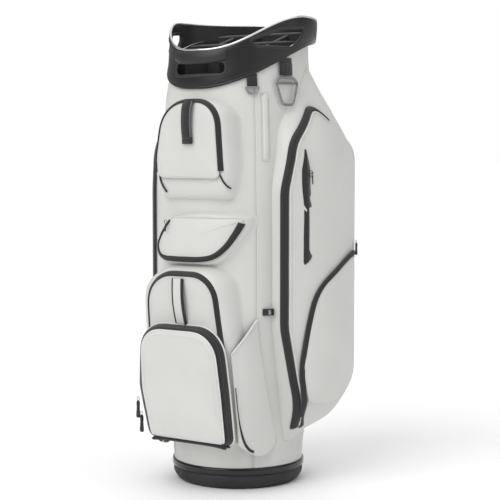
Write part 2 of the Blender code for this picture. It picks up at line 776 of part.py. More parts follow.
def quick_point(side, share, z, out):
    """A point of a flank panel; share runs from the lower pockets' edge back to its seam."""
    front = Vector((0.0990, LOW_Y - (z - LOW_Z) * tan(LOW_TILT) + 0.002))
    seam = radians(48 + 20 * max(0.0, (0.331 - z) / 0.241) ** 1.6)
    reach = shell_radius(seam, z) + 0.0054
    back = Vector((reach * sin(seam), -reach * cos(seam)))
    along = (back - front).normalized()
    point = front.lerp(back, share) + Vector((along.y, -along.x)) * (0.004 * sin(pi * share) + out)
    angle = atan2(point.x, -point.y)
    radius = max(point.length, shell_radius(angle, z) + 0.0054 + out)
    return around(angle * side, radius, z)


def make_quick_pockets():
    """Flank panels, each with a slim pocket, from the lower pockets back to the shell."""
    for side, name in ((1, "right"), (-1, "left")):
        skins = []
        for out in (0.0, -0.0034):
            grid = []
            for k in range(11):
                share = k / 10
                low = 0.0885 + 0.0113 * (1 - share) - 0.026 * max(0.0, sin(pi * share)) ** 0.8
                high = 0.270 + 0.061 * share
                grid.append([quick_point(side, share, low + (high - low) * i / 7, out)
                             for i in range(8)])
            skins.append(grid)
        panel_solid(f"{name}_quick_pocket", skins[0], skins[1], "leather")


def make_pulls():
    """Sliders and pulls of the zips."""
    block("rangefinder_pull", (0.026, 0.002, 0.072), "black_fabric",
          (0.009, -FINDER_FACE - 0.0150, FINDER_Z + 0.106), bevel=0.0005)
    block("valuables_pull", (0.006, 0.003, 0.014), "gunmetal",
          (-0.046, -0.1722, 0.508), (0, 0, radians(-12)), bevel=0.0006)
    for k, (x, y, z) in enumerate(((-0.1110, -0.172, 0.151), (-0.1120, -0.160, 0.121))):
        block(f"front_zip_pull_{k + 1}", (0.010, 0.006, 0.042), "black_plastic", (x, y, z),
              bevel=0.0012)
    for side, name in ((1, "right"), (-1, "left")):
        block(f"{name}_slit_slider", (0.004, 0.007, 0.018), "gunmetal",
              (side * (SIDE_FACE + 0.0082), DOOR_Y - 0.149, 0.600), (0, 0, side * radians(-20)),
              bevel=0.0005)
        block(f"{name}_lower_pull", (0.004, 0.008, 0.030), "black_plastic",
              (side * (SIDE_FACE + 0.0235), DOOR_Y - 0.006, 0.4550), bevel=0.0005)


# ---------------------------------------------------------------- build
def main():
    clear_scene()
    make_materials()
    make_base()
    make_shell()
    make_cuff()
    make_rim_trim()
    make_grip("front_grip", 0, 26, 0.025, 0.003)
    make_dividers()
    make_stays()
    make_finder_pocket()
    make_valuables()
    make_low_pockets()
    make_side(1, "right")
    make_side(-1, "left")
    make_hardware()
    make_front_handle()
    make_quick_pockets()
    make_pulls()


main()
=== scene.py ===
"""Looks of the golf staff bag: sewn leather, zips, piping, moulded cuff and hardware.

Metres, +Z up; -Y is the front with the stacked pockets, +X carries the towel ring.
Each pocket is drawn in its own frame: u across, v up, w outwards.
"""
from math import atan, atan2, cos, degrees, hypot, pi, radians, sin, tan

import bmesh
import bpy
from mathutils import Matrix, Vector, noise


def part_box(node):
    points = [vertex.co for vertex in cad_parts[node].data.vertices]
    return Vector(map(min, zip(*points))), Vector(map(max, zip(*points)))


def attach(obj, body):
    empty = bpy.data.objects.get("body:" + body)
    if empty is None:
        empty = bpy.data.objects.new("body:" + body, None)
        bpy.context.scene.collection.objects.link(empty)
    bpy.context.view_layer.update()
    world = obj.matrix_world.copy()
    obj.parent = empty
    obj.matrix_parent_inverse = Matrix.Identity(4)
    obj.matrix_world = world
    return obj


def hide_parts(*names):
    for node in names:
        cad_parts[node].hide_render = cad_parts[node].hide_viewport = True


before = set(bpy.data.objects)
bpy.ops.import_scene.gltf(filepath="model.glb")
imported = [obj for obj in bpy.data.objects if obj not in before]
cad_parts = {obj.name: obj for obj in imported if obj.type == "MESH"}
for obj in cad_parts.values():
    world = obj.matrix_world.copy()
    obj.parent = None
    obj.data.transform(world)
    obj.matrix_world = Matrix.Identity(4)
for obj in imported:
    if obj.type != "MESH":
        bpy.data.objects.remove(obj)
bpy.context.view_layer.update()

# ---------------------------------------------------------------- dimensions shared with the CAD
GAP = 0.0004
WALL = 0.004
BASE_H = 0.028
BAND_H = 0.014
SHELL_Z = BASE_H + BAND_H + GAP
RIM_FRONT_Z = 0.831
RIM_BACK_Z = 0.896
CUFF_FRONT_Z = 0.761
CUFF_RISE = 0.093
CUFF_WALL = 0.005
STATIONS = [
    (0.000, 0.1265, 0.1265, 0.1265, 2.0),
    (0.070, 0.1270, 0.1275, 0.1280, 2.0),
    (0.120, 0.1290, 0.1370, 0.1320, 2.3),
    (0.200, 0.1320, 0.1500, 0.1380, 2.6),
    (0.320, 0.1340, 0.1560, 0.1440, 2.8),
    (0.440, 0.1340, 0.1520, 0.1480, 2.8),
    (0.600, 0.1340, 0.1430, 0.1510, 2.7),
    (0.740, 0.1340, 0.1360, 0.1540, 2.25),
    (0.820, 0.1340, 0.1300, 0.1560, 1.85),
    (0.920, 0.1340, 0.1280, 0.1560, 1.85),
]
FINDER_FACE = 0.164
FINDER_Z = 0.592
LID = 0.006
VALUABLES_Z = 0.520
LOW_Y = -0.141
LOW_Z = 0.099
LOW_TILT = radians(8)
SIDE_FACE = 0.176
DOOR_Y = 0.124
DOOR_LIFT = SIDE_FACE + 2 * GAP
SIDE_LOW_Z = 0.130


# ---------------------------------------------------------------- small maths
def smooth(t):
    t = max(0.0, min(1.0, t))
    return t * t * (3 - 2 * t)


def mix(a, b, t):
    return a + (b - a) * t


def between(a, b, c, d, t):
    """Value between b and c that flows on from a and into d."""
    return b + 0.5 * t * (c - a + t * (2 * a - 5 * b + 4 * c - d + t * (3 * (b - c) + d - a)))


def station(z):
    """Half width, front, back and squareness of the shell at a height."""
    last = len(STATIONS) - 1
    i = max(k for k in range(last) if z >= STATIONS[k][0] or k == 0)
    near = [STATIONS[max(0, min(last, k))] for k in (i - 1, i, i + 1, i + 2)]
    t = (z - near[1][0]) / (near[2][0] - near[1][0])
    return [between(*(row[column] for row in near), t) for column in range(1, 5)]


def shell_radius(angle, z):
    half, front, back, power = station(z)
    reach = front if cos(angle) > 0 else back
    total = abs(sin(angle) / half) ** power + abs(cos(angle) / reach) ** power
    return total ** (-1 / power)


def shell_front(x, z):
    half, front, _, power = station(z)
    return front * max(0.0, 1 - abs(x / half) ** power) ** (1 / power)


def shell_side(y, z):
    half, front, back, power = station(z)
    reach = front if y < 0 else back
    return half * max(0.0, 1 - abs(y / reach) ** power) ** (1 / power)


def rim_z(angle):
    t = min(1.0, max(0.0, (abs(degrees(angle)) - 5) / 90))
    return RIM_FRONT_Z + (RIM_BACK_Z - RIM_FRONT_Z) * sin(pi / 2 * t) ** 2.2


def cuff_z(angle):
    return CUFF_FRONT_Z + CUFF_RISE * smooth((abs(degrees(angle)) - 5) / 120)


def cuff_radius(angle, z):
    flare = 0.012 * smooth((abs(degrees(angle)) - 60) / 50)
    return shell_radius(angle, z) + GAP + CUFF_WALL + flare * smooth((z - 0.79) / 0.09)


def around(angle, radius, z):
    """Point at an angle (0 in front, + to the right), a radius and a height."""
    return Vector((radius * sin(angle), -radius * cos(angle), z))


def wrapped(degree):
    return radians((degree + 180) % 360 - 180)


def rumple(p, size, depth):
    """Slack in the leather: a smooth, repeatable in and out movement."""
    return depth * noise.noise(Vector(p) / size)


def rounded(corners, steps=10):
    """Closed outline through (u, v, radius) corners, each radius as an arc."""
    made = []
    count = len(corners)
    for k, (u, v, radius) in enumerate(corners):
        here = Vector((u, v))
        before = (Vector(corners[k - 1][:2]) - here).normalized()
        after = (Vector(corners[(k + 1) % count][:2]) - here).normalized()
        half = before.angle(after) / 2
        centre = here + (before + after).normalized() * (radius / sin(half))
        first = here + before * (radius / tan(half)) - centre
        last = here + after * (radius / tan(half)) - centre
        start = atan2(first.y, first.x)
        sweep = (atan2(last.y, last.x) - start + pi) % (2 * pi) - pi
        for i in range(steps + 1):
            turn = start + sweep * i / steps
            made.append((centre.x + radius * cos(turn), centre.y + radius * sin(turn)))
    return made


def walked(points, step, least=1):
    """The (u, v) path cut into equal steps, with its last point."""
    lengths = [0.0]
    for a, b in zip(points, points[1:]):
        lengths.append(lengths[-1] + hypot(b[0] - a[0], b[1] - a[1]))
    count = max(least, int(lengths[-1] / step))
    made = []
    i = 0
    for k in range(count + 1):
        d = lengths[-1] * k / count
        while i < len(points) - 2 and lengths[i + 1] < d:
            i += 1
        t = (d - lengths[i]) / max(1e-9, lengths[i + 1] - lengths[i])
        made.append(tuple(mix(points[i][n], points[i + 1][n], t) for n in (0, 1)))
    return made


def even(outline, step=0.004):
    """The closed outline walked again in equal steps and slightly relaxed."""
    made = walked(outline + outline[:1], step)[:-1]
    for _ in range(4):
        made = [tuple((made[k - 1][n] + 2 * made[k][n] + made[(k + 1) % len(made)][n]) / 4
                      for n in (0, 1)) for k in range(len(made))]
    return made


def offset(outline, d):
    """Moves the outline outwards by d along its own normals (d may differ by point)."""
    count = len(outline)
    area = sum(a[0] * b[1] - b[0] * a[1] for a, b in zip(outline, outline[1:] + outline[:1]))
    turn = 1 if area > 0 else -1
    made = []
    for k, (u, v) in enumerate(outline):
        a, b = outline[k - 1], outline[(k + 1) % count]
        du, dv = b[0] - a[0], b[1] - a[1]
        size = hypot(du, dv) or 1.0
        far = at(d, u, v)
        made.append((u + turn * far * dv / size, v - turn * far * du / size))
    return made


def shrunk(outline, centre, share):
    return [(mix(u, centre[0], share), mix(v, centre[1], share)) for u, v in outline]


def run(outline, keep):
    """Indices of the longest run of outline points that keep accepts, in order."""
    count = len(outline)
    good = [keep(u, v) for u, v in outline]
    best = []
    for start in range(count):
        if good[start] and not good[start - 1]:
            found = []
            k = start
            while good[k % count] and len(found) < count:
                found.append(k % count)
                k += 1
            best = max(best, found, key=len)
    return best or list(range(count))


def at(w, u, v):
    """A distance that is a number, or a function of (u, v)."""
    return w(u, v) if callable(w) else w


def picked(outline, far, keep):
    """Outline points moved outwards by far, along the run that keep accepts."""
    moved = offset(outline, far)
    return [moved[k] for k in run(outline, keep)] if keep else moved


def lifted(place, path, w):
    """Path of (u, v) points placed at distance w."""
    return [place(u, v, at(w, u, v)) for u, v in path]


# ---------------------------------------------------------------- materials
def node_material(name, colour, rough, metal=0.0, **more):
    """A material whose colour, roughness and bump come from procedural nodes."""
    material = bpy.data.materials.new(name)
    material.use_nodes = True
    tree = material.node_tree
    shader = tree.nodes["Principled BSDF"]
    shader.inputs["Base Color"].default_value = (*colour, 1)
    shader.inputs["Roughness"].default_value = rough
    shader.inputs["Metallic"].default_value = metal
    for key, value in more.items():
        shader.inputs[key.replace("_", " ")].default_value = value
    return material, tree, shader


def add(tree, kind, **values):
    made = tree.nodes.new(kind)
    for key, value in values.items():
        if key in made.inputs:
            made.inputs[key].default_value = value
        else:
            setattr(made, key, value)
    return made


def link(tree, a, b):
    tree.links.new(a, b)


def ramp(tree, source, low, high, first, last):
    """Maps source through a colour ramp from first at low to last at high."""
    made = tree.nodes.new("ShaderNodeValToRGB")
    made.color_ramp.elements[0].position = low
    made.color_ramp.elements[1].position = high
    made.color_ramp.elements[0].color = (*first, 1)
    made.color_ramp.elements[1].color = (*last, 1)
    link(tree, source, made.inputs[0])
    return made.outputs[0]


def grey(v):
    return (v, v, v)


def bump_chain(tree, shader, heights):
    """Bumps laid over each other: (height socket, strength, distance)."""
    last = None
    for height, strength, distance in heights:
        node = add(tree, "ShaderNodeBump", Strength=strength, Distance=distance)
        link(tree, height, node.inputs["Height"])
        if last is not None:
            link(tree, last, node.inputs["Normal"])
        last = node.outputs[0]
    link(tree, last, shader.inputs["Normal"])


def coords(tree, scale=(1, 1, 1)):
    where = tree.nodes.new("ShaderNodeTexCoord")
    mapping = add(tree, "ShaderNodeMapping", Scale=scale)
    link(tree, where.outputs["Object"], mapping.inputs[0])
    return mapping.outputs[0]


def textured(tree, kind, where, **values):
    node = add(tree, kind, **values)
    link(tree, where, node.inputs["Vector"])
    return node


def make_leather(name, colour, rough=0.46):
    """Coated leather: pebble grain, soft creases, faint mottling and scuffed sheen."""
    material, tree, shader = node_material(name, colour, rough, Specular_IOR_Level=0.42)
    shader.inputs["Coat Weight"].default_value = 0.06
    shader.inputs["Coat Roughness"].default_value = 0.35
    where = coords(tree)
    grain = textured(tree, "ShaderNodeTexVoronoi", where, Scale=850.0, feature="SMOOTH_F1")
    pores = textured(tree, "ShaderNodeTexNoise", where, Scale=2300.0, Detail=3.0)
    creases = textured(tree, "ShaderNodeTexNoise", where, Scale=34.0, Detail=5.0, Distortion=0.6)
    mottle = textured(tree, "ShaderNodeTexNoise", where, Scale=9.0, Detail=4.0)
    low = tuple(c * 0.955 for c in colour)
    link(tree, ramp(tree, mottle.outputs["Fac"], 0.32, 0.68, low, colour),
         shader.inputs["Base Color"])
    link(tree, ramp(tree, creases.outputs["Fac"], 0.3, 0.7, grey(rough - 0.07), grey(rough + 0.09)),
         shader.inputs["Roughness"])
    bump_chain(tree, shader, [(creases.outputs["Fac"], 0.22, 0.0016),
                              (grain.outputs["Distance"], 0.28, 0.0004),
                              (pores.outputs["Fac"], 0.15, 0.0001)])
    return material


def make_weave(name, colour, pitch, rough=0.85, depth=0.0004, bands="X"):
    """Woven cloth: warp and weft ribs crossing, with a little fuzz."""
    material, tree, shader = node_material(name, colour, rough)
    shader.inputs["Sheen Weight"].default_value = 0.25
    shader.inputs["Sheen Roughness"].default_value = 0.5
    where = coords(tree)
    warp = textured(tree, "ShaderNodeTexWave", where, Scale=pi / pitch / 10, bands_direction="Z")
    weft = textured(tree, "ShaderNodeTexWave", where, Scale=pi / pitch / 10,
                    bands_direction=bands)
    fuzz = textured(tree, "ShaderNodeTexNoise", where, Scale=1500.0, Detail=4.0)
    cross = add(tree, "ShaderNodeMath", operation="MULTIPLY")
    link(tree, warp.outputs["Fac"], cross.inputs[0])
    link(tree, weft.outputs["Fac"], cross.inputs[1])
    light = tuple(min(1.0, c * 1.9 + 0.006) for c in colour)
    link(tree, ramp(tree, cross.outputs[0], 0.1, 0.9, colour, light), shader.inputs["Base Color"])
    link(tree, ramp(tree, fuzz.outputs["Fac"], 0.3, 0.7, grey(rough - 0.1), grey(rough + 0.08)),
         shader.inputs["Roughness"])
    bump_chain(tree, shader, [(cross.outputs[0], 0.5, depth), (fuzz.outputs["Fac"], 0.25, 0.0002)])
    return material


def make_moulded(name, colour, rough, grain_scale=1400.0, depth=0.00012, wear=1.6):
    """Moulded plastic or rubber: fine spark texture, with handling polish in patches."""
    material, tree, shader = node_material(name, colour, rough)
    where = coords(tree)
    grain = textured(tree, "ShaderNodeTexNoise", where, Scale=grain_scale, Detail=2.0)
    patches = textured(tree, "ShaderNodeTexNoise", where, Scale=16.0, Detail=4.0)
    light = tuple(min(1.0, c * wear) for c in colour)
    link(tree, ramp(tree, patches.outputs["Fac"], 0.35, 0.75, colour, light),
         shader.inputs["Base Color"])
    link(tree, ramp(tree, patches.outputs["Fac"], 0.3, 0.7, grey(rough + 0.06), grey(rough - 0.07)),
         shader.inputs["Roughness"])
    bump_chain(tree, shader, [(grain.outputs["Fac"], 0.35, depth)])
    return material


def make_metal(name, colour, rough):
    """Plated metal with fine brushing and smudges."""
    material, tree, shader = node_material(name, colour, rough, 1.0)
    where = coords(tree)
    brushed = textured(tree, "ShaderNodeTexNoise", coords(tree, (1, 1, 14)), Scale=420.0,
                       Detail=3.0)
    smudge = textured(tree, "ShaderNodeTexNoise", where, Scale=60.0, Detail=3.0)
    link(tree, ramp(tree, smudge.outputs["Fac"], 0.35, 0.7, grey(rough), grey(rough + 0.14)),
         shader.inputs["Roughness"])
    bump_chain(tree, shader, [(brushed.outputs["Fac"], 0.12, 0.0001)])
    return material


LEATHER = make_leather("off_white_leather", (0.650, 0.648, 0.630))
PIPING = make_leather("leather_piping", (0.74, 0.74, 0.725), 0.40)
TAPE = make_weave("zip_tape", (0.0075, 0.0075, 0.0085), 0.0011, rough=0.72, depth=0.0003)
WEBBING = make_weave("webbing", (0.010, 0.010, 0.011), 0.0021, rough=0.80, depth=0.0007)
GREY_TRIM = make_weave("grey_trim", (0.085, 0.086, 0.090), 0.0012)
LINING = make_weave("dark_lining", (0.012, 0.012, 0.014), 0.0014, rough=0.9)
DIVIDER_TOP = make_weave("divider_binding", (0.055, 0.056, 0.060), 0.0013, rough=0.85)
CUFF = make_moulded("cuff_plastic", (0.0085, 0.0085, 0.0095), 0.34)
RUBBER = make_moulded("grip_rubber", (0.014, 0.014, 0.015), 0.50, depth=0.0003)
FOOT = make_moulded("foot_rubber", (0.013, 0.0135, 0.015), 0.60, depth=0.0003)
GLOSS = make_moulded("gloss_black", (0.006, 0.006, 0.007), 0.13, depth=0.00004)
METAL = make_metal("gunmetal_plate", (0.30, 0.30, 0.31), 0.24)
# painted highlight: a bright metal that stands in for the specular highlight on the black rim's
# chamfer
RIM_HIGHLIGHT_METAL = make_metal("painted_rim_highlight", (0.78, 0.78, 0.79), 0.14)
THREAD = make_moulded("light_thread", (0.58, 0.58, 0.56), 0.7, wear=1.1)
GLASS_ROD = make_moulded("stay_rod", (0.08, 0.08, 0.08), 0.45)


# ---------------------------------------------------------------- mesh helpers
def put(name, bm, materials, body, replaces=(), sharp=None):
    """Adds a piece made in bm, riding on a body, standing for the nodes it replaces."""
    bmesh.ops.recalc_face_normals(bm, faces=bm.faces)
    mesh = bpy.data.meshes.new(name)
    bm.to_mesh(mesh)
    bm.free()
    mesh.shade_smooth()
    if sharp:
        mesh.set_sharp_from_angle(angle=radians(sharp))
    for material in materials:
        mesh.materials.append(material)
    obj = bpy.data.objects.new(name, mesh)
    bpy.context.scene.collection.objects.link(obj)
    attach(obj, body)
    if replaces:
        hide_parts(*replaces)
    return obj


def loft(bm, loops, wrap=True, ring=False, caps=(False, False), mats=None):
    """Quads between loops of equal length; mats gives a material index per band."""
    rows = [[bm.verts.new(p) for p in loop] for loop in loops]
    pairs = list(zip(rows, rows[1:]))
    if ring:
        pairs.append((rows[-1], rows[0]))
    count = len(rows[0])
    for n, (a, b) in enumerate(pairs):
        for k in range(count if wrap else count - 1):
            j = (k + 1) % count
            face = bm.faces.new((a[k], a[j], b[j], b[k]))
            face.material_index = mats[n] if mats else 0
    for wanted, row, n in ((caps[0], rows[0], 0), (caps[1], rows[-1], -1)):
        if wanted:
            middle = bm.verts.new(sum((v.co for v in row), Vector()) / count)
            for k in range(count):
                face = bm.faces.new((row[k], row[(k + 1) % count], middle))
                face.material_index = mats[n] if mats else 0
    return rows


def frames(path, closed):
    """Tangent, side and normal at each path point, carried along without twisting."""
    count = len(path)
    made = []
    normal = None
    for k in range(count):
        a = path[k - 1] if closed or k > 0 else path[k]
        b = path[(k + 1) % count] if closed or k < count - 1 else path[k]
        along = (b - a).normalized()
        if normal is None:
            normal = along.orthogonal().normalized()
        normal = (normal - along * normal.dot(along)).normalized()
        made.append((along, along.cross(normal), normal))
    return made


def tube(bm, path, radius, closed=False, sides=8, mat=0, taper=False):
    """A round cord along a path, capped when open and thinner at its tips if tapered."""
    loops = []
    count = len(path)
    for k, (p, (_, side, normal)) in enumerate(zip(path, frames(path, closed))):
        r = radius
        if taper and not closed and k in (0, count - 1):
            r = radius * 0.45
        loops.append([p + (side * cos(2 * pi * i / sides) + normal * sin(2 * pi * i / sides)) * r
                      for i in range(sides)])
    bands = len(loops) if closed else len(loops) - 1
    loft(bm, loops, ring=closed, caps=(not closed, not closed), mats=[mat] * bands)


def stitches(bm, path, normals, length=0.0027, gap=0.0016, radius=0.00042, mat=0):
    """Thread laid along a path as short raised stitches."""
    done = 0.0
    next_at = gap
    for k in range(len(path) - 1):
        a, b = path[k], path[k + 1]
        span = (b - a).length
        while next_at < done + span and span > 0:
            t = (next_at - done) / span
            middle = a.lerp(b, t)
            along = (b - a).normalized()
            up = normals[k]
            side = along.cross(up).normalized()
            ends = [bm.verts.new(middle + along * s * length / 2 - up * radius * 0.4)
                    for s in (-1, 1)]
            belt = [bm.verts.new(middle + d) for d in (side * radius, up * radius,
                                                      -side * radius, -up * radius)]
            for i in range(4):
                for end in ends:
                    face = bm.faces.new((belt[i], belt[(i + 1) % 4], end))
                    face.material_index = mat
            next_at += length + gap
        done += span


def strip(bm, rows):
    """Skin over rows of points laid side by side, closed under and at its ends."""
    made = loft(bm, rows, wrap=False, ring=True, mats=[0] * len(rows))
    for end in (0, -1):
        bm.faces.new([row[end] for row in made])


def band(bm, place, outline, section, keep):
    """A strip that follows the outline: section lists (offset, w) across it."""
    strip(bm, [lifted(place, picked(outline, far, keep), w) for far, w in section])


def spline(points, step=0.004):
    """Smooth open curve through the points, walked in equal steps."""
    last = len(points) - 1
    fine = []
    for k in range(last):
        a, b, c, d = (points[max(0, min(last, i))] for i in (k - 1, k, k + 1, k + 2))
        for i in range(20):
            t = i / 20
            fine.append([between(a[n], b[n], c[n], d[n], t) for n in (0, 1)])
    fine.append(points[last])
    return walked(fine, step, 2)


def beside(path, far):
    """The open path moved sideways, to its right, by far (a distance or a function of share)."""
    last = len(path) - 1
    made = []
    for k, (u, v) in enumerate(path):
        a, b = path[max(0, k - 1)], path[min(last, k + 1)]
        du, dv = b[0] - a[0], b[1] - a[1]
        size = hypot(du, dv) or 1.0
        d = far(k / last) if callable(far) else far
        made.append((u + d * dv / size, v - d * du / size))
    return made


def ribbon(bm, place, path, section, width=None):
    """A strip along an open path; section lists (offset, w) and width scales it along."""
    strip(bm, [lifted(place, beside(path, (lambda t, f=far: f * width(t)) if width else far), w)
               for far, w in section])


def seam(bm, place, path, w):
    """Stitches along an open path at distance w."""
    points = lifted(place, path, w)
    high = [place(u, v, at(w, u, v) + 0.001) for u, v in path]
    stitches(bm, points, [(b - a).normalized() for a, b in zip(points, high)])


def zip_section(width, lift):
    """Cross-section of a closed zip: two tapes and the ridge of the covered coil."""
    half = width / 2
    made = [(share * half, lift + high) for share, high in (
        (-1.0, 0.0), (-0.94, 0.0008), (-0.30, 0.0009), (-0.24, 0.0016), (-0.05, 0.0019),
        (0.0, 0.0010), (0.05, 0.0019), (0.24, 0.0016), (0.30, 0.0009), (0.94, 0.0008),
        (1.0, 0.0))]
    return made + [(half * 0.9, lift - 0.0012), (-half * 0.9, lift - 0.0012)]


def piping(bm, place, outline, far, w, radius, keep):
    tube(bm, lifted(place, picked(outline, far, keep), w), radius, sides=7, taper=True)


def sewn(bm, place, outline, far, w, keep):
    seam(bm, place, picked(outline, far, keep), w)


def strap(bm, centre, across, out, half, thick, mat=0):
    """A flat strap with rounded edges; out and half may be given for each centre point."""
    loops = []
    for k, p in enumerate(centre):
        n = out[k] if isinstance(out, list) else out
        h = half[k] if isinstance(half, list) else half
        shape = ((-h, 0.0), (-h + thick * 0.5, thick * 0.5), (h - thick * 0.5, thick * 0.5),
                 (h, 0.0), (h - thick * 0.5, -thick * 0.5), (-h + thick * 0.5, -thick * 0.5))
        loops.append([p + across * s + n * t for s, t in shape])
    loft(bm, loops, caps=(True, True), mats=[mat] * (len(loops) - 1))


def lid_skin(bm, place, outline, centre, back, front, crown, seed=0.0, rings=14):
    """A padded panel: lining behind, a rolled edge, and a crowned, slightly slack face."""
    loops = [lifted(place, shrunk(outline, centre, share), back) for share in (0.75, 0.4, 0.1)]
    loops.append(lifted(place, offset(outline, -0.0008), back))
    loops.append(lifted(place, outline, mix(back, front, 0.5)))
    for k in range(rings + 1):
        t = k / rings
        if t < 0.12:
            points = offset(outline, -0.0006 - 0.004 * t / 0.12)
        else:
            points = shrunk(offset(outline, -0.0046), centre, (t - 0.12) / 0.88 * 0.93)
        rise = crown * (1 - (1 - t) ** 2.6) ** 0.9
        slack = smooth(t / 0.3)
        loop = []
        for u, v in points:
            w = front + rise
            w += slack * rumple((u + seed, v - seed, seed), 0.045, 0.0013)
            w += slack * rumple((u - seed, v + seed, seed + 5), 0.017, 0.0004)
            loop.append(place(u, v, w))
        loops.append(loop)
    loft(bm, loops, caps=(True, True), mats=[1] * 3 + [0] * (rings + 3))


def pocket_skin(bm, place, lid, foot, behind, face, flange=0.004, inner=-0.0055, steps=9,
                seed=0.0):
    """A pocket's wall: flange on the shell, rounded side, lip, and the lined inside."""
    loops = []
    for far, under in ((flange, 0.0030), (flange * 0.4, 0.0006)):
        loops.append([place(u, v, behind(u, v) - under)
                      for u, v in offset(foot, far)])
    for k in range(steps + 1):
        turn = pi / 2 * k / steps
        out, up = cos(turn), sin(turn) ** 0.92
        loop = []
        for (u0, v0), (u1, v1) in zip(lid, foot):
            u, v = mix(u0, u1, out), mix(v0, v1, out)
            w = mix(behind(u, v), face, up)
            w += rumple((u + seed, v, seed), 0.05, 0.0012) * sin(2 * turn)
            loop.append(place(u, v, w))
        loops.append(loop)
    inside = offset(lid, inner)
    loops.append(lifted(place, offset(lid, inner * 0.5), face - 0.0002))
    loops.append(lifted(place, inside, face - 0.0022))
    loops.append([place(u, v, behind(u, v) - 0.0004) for u, v in inside])
    loft(bm, loops, mats=[0] * (steps + 3) + [1] * 3)


# ---------------------------------------------------------------- base
def make_base():
    """Moulded rubber foot with fine upright ribs, under a glossy band."""
    count = 192
    profile = [(0.1080, 0.0), (0.1145, 0.0004), (0.1200, 0.0045), (0.1252, 0.0120),
               (0.1270, 0.0170), (0.1270, 0.0262), (0.1262, 0.0276), (0.1130, 0.0278),
               (0.1128, 0.0478), (0.1080, 0.0484)]
    bm = bmesh.new()
    loops = []
    for n, (r, z) in enumerate(profile):
        loop = []
        for k in range(count):
            rib = 0.0005 if k % 8 in (0, 1) and 3 <= n <= 6 else 0.0
            loop.append(around(2 * pi * k / count, r - rib, z))
        loops.append(loop)
    loft(bm, loops, caps=(True, True))
    put("foot_moulding", bm, [FOOT], "bag", ["base_foot"], sharp=40)

    bm = bmesh.new()
    low, high = BASE_H + 0.0002, BASE_H + BAND_H
    section = [(0.1274, low), (0.1292, low + 0.0012), (0.1296, low + 0.004),
               (0.1296, high - 0.003), (0.1288, high - 0.0006), (0.1270, high), (0.1136, high),
               (0.1136, low)]
    loft(bm, [[around(2 * pi * k / count, r, z) for k in range(count)] for r, z in section],
         ring=True)
    put("gloss_band", bm, [GLOSS], "bag", ["base_band"], sharp=60)


# ---------------------------------------------------------------- shell
HEM_Z = 0.0995
PANELS = (("front", -48, 48), ("right", 48, 132), ("back", 132, 228), ("left", 228, 312))


def shell_skin(angle, z):
    """Outside of the leather: the shell with a little slack, pulled in at its foot."""
    r = shell_radius(angle, z)
    p = around(angle, r, z)
    slack = smooth((z - 0.06) / 0.06) * smooth((0.76 - z) / 0.05)
    r += slack * (rumple(p, 0.11, 0.0012) + rumple(p + Vector((3, 1, 2)), 0.035, 0.00035))
    skirt = smooth((0.125 - z) / 0.04) * smooth((z - 0.042) / 0.012)
    r += skirt * (rumple((angle * 2.2, z * 0.8, 9.0), 0.42, 0.0032) - 0.0006)
    return r


def make_shell():
    """Four sewn panels with rolled edges, lined inside, and a hem band round the foot."""
    shares = [k / 110 for k in range(111)]
    for name, first, last in PANELS:
        bm = bmesh.new()
        steps = int((last - first) / 1.5)
        outer, inner = [], []
        for k in range(steps + 1):
            inset = 0.0014 * max(0.0, 1 - min(k, steps - k) * 1.5 / 1.6) ** 2
            a = wrapped(first + 0.05 + (last - first - 0.1) * k / steps)
            zs = [SHELL_Z + (cuff_z(a) + 0.012 - SHELL_Z) * share for share in shares]
            outer.append([around(a, shell_skin(a, z) - inset
                                 - 0.0007 * smooth(1 - abs(z - HEM_Z) / 0.003), z) for z in zs])
            inner.append([around(a, shell_radius(a, z) - WALL, z) for z in zs[::5]])
        loft(bm, outer, wrap=False)
        loft(bm, inner, wrap=False, mats=[1] * steps)
        for end in (-1, 0):
            loft(bm, [[line[end] for line in skin] for skin in (outer, inner)], wrap=False)
        put(f"{name}_leather", bm, [LEATHER, LINING], "bag", [f"{name}_shell_panel"])

    bm = bmesh.new()
    for degree in (48, 132, 228, 312):
        for shift in (-1.35, 1.35):
            a = wrapped(degree + shift)
            zs = [0.045 + k * 0.006 for k in range(int((cuff_z(a) - 0.05) / 0.006))]
            path = [around(a, shell_skin(a, z) + 0.0001, z) for z in zs]
            stitches(bm, path, [around(a, 1, 0)] * len(path))
    for z in (0.0965, 0.0475):
        path = [around(radians(2 * k), shell_skin(wrapped(2 * k), z) + 0.0001, z)
                for k in range(181)]
        stitches(bm, path, [Vector((p.x, p.y, 0)).normalized() for p in path])
    put("shell_stitching", bm, [THREAD], "bag")


# ---------------------------------------------------------------- cuff
def window_corners():
    """A side hand hole's corners as (u, z, radius)."""
    return [(-0.058, 0.849, 0.003), (-0.044, 0.837, 0.012), (0.030, 0.836, 0.014),
            (0.056, 0.860, 0.010), (0.060, 0.878, 0.004), (0.000, 0.872, 0.030)]


def hole_outlines():
    """Each hand hole as (turn, outline): the outline lies in the plane facing that way."""
    front = rounded([(-0.060, 0.784, 0.010), (0.060, 0.784, 0.010),
                     (0.056, 0.811, 0.006), (-0.056, 0.811, 0.006)])
    made = [(0.0, front)]
    for side in (1, -1):
        made.append((side * radians(70), [(u * side, v) for u, v in rounded(window_corners())]))
    return made


def facing(turn, u, v, inset=0.0):
    """The point of the cuff's skin straight in front of (u, v) on a plane turned by turn."""
    reach = 0.14
    for _ in range(12):
        x = reach * sin(turn) + u * cos(turn)
        y = -reach * cos(turn) + u * sin(turn)
        angle = atan2(x, -y)
        r = cuff_radius(angle, v) - inset
        reach += r - hypot(x, y)
    return Vector((x, y, v))


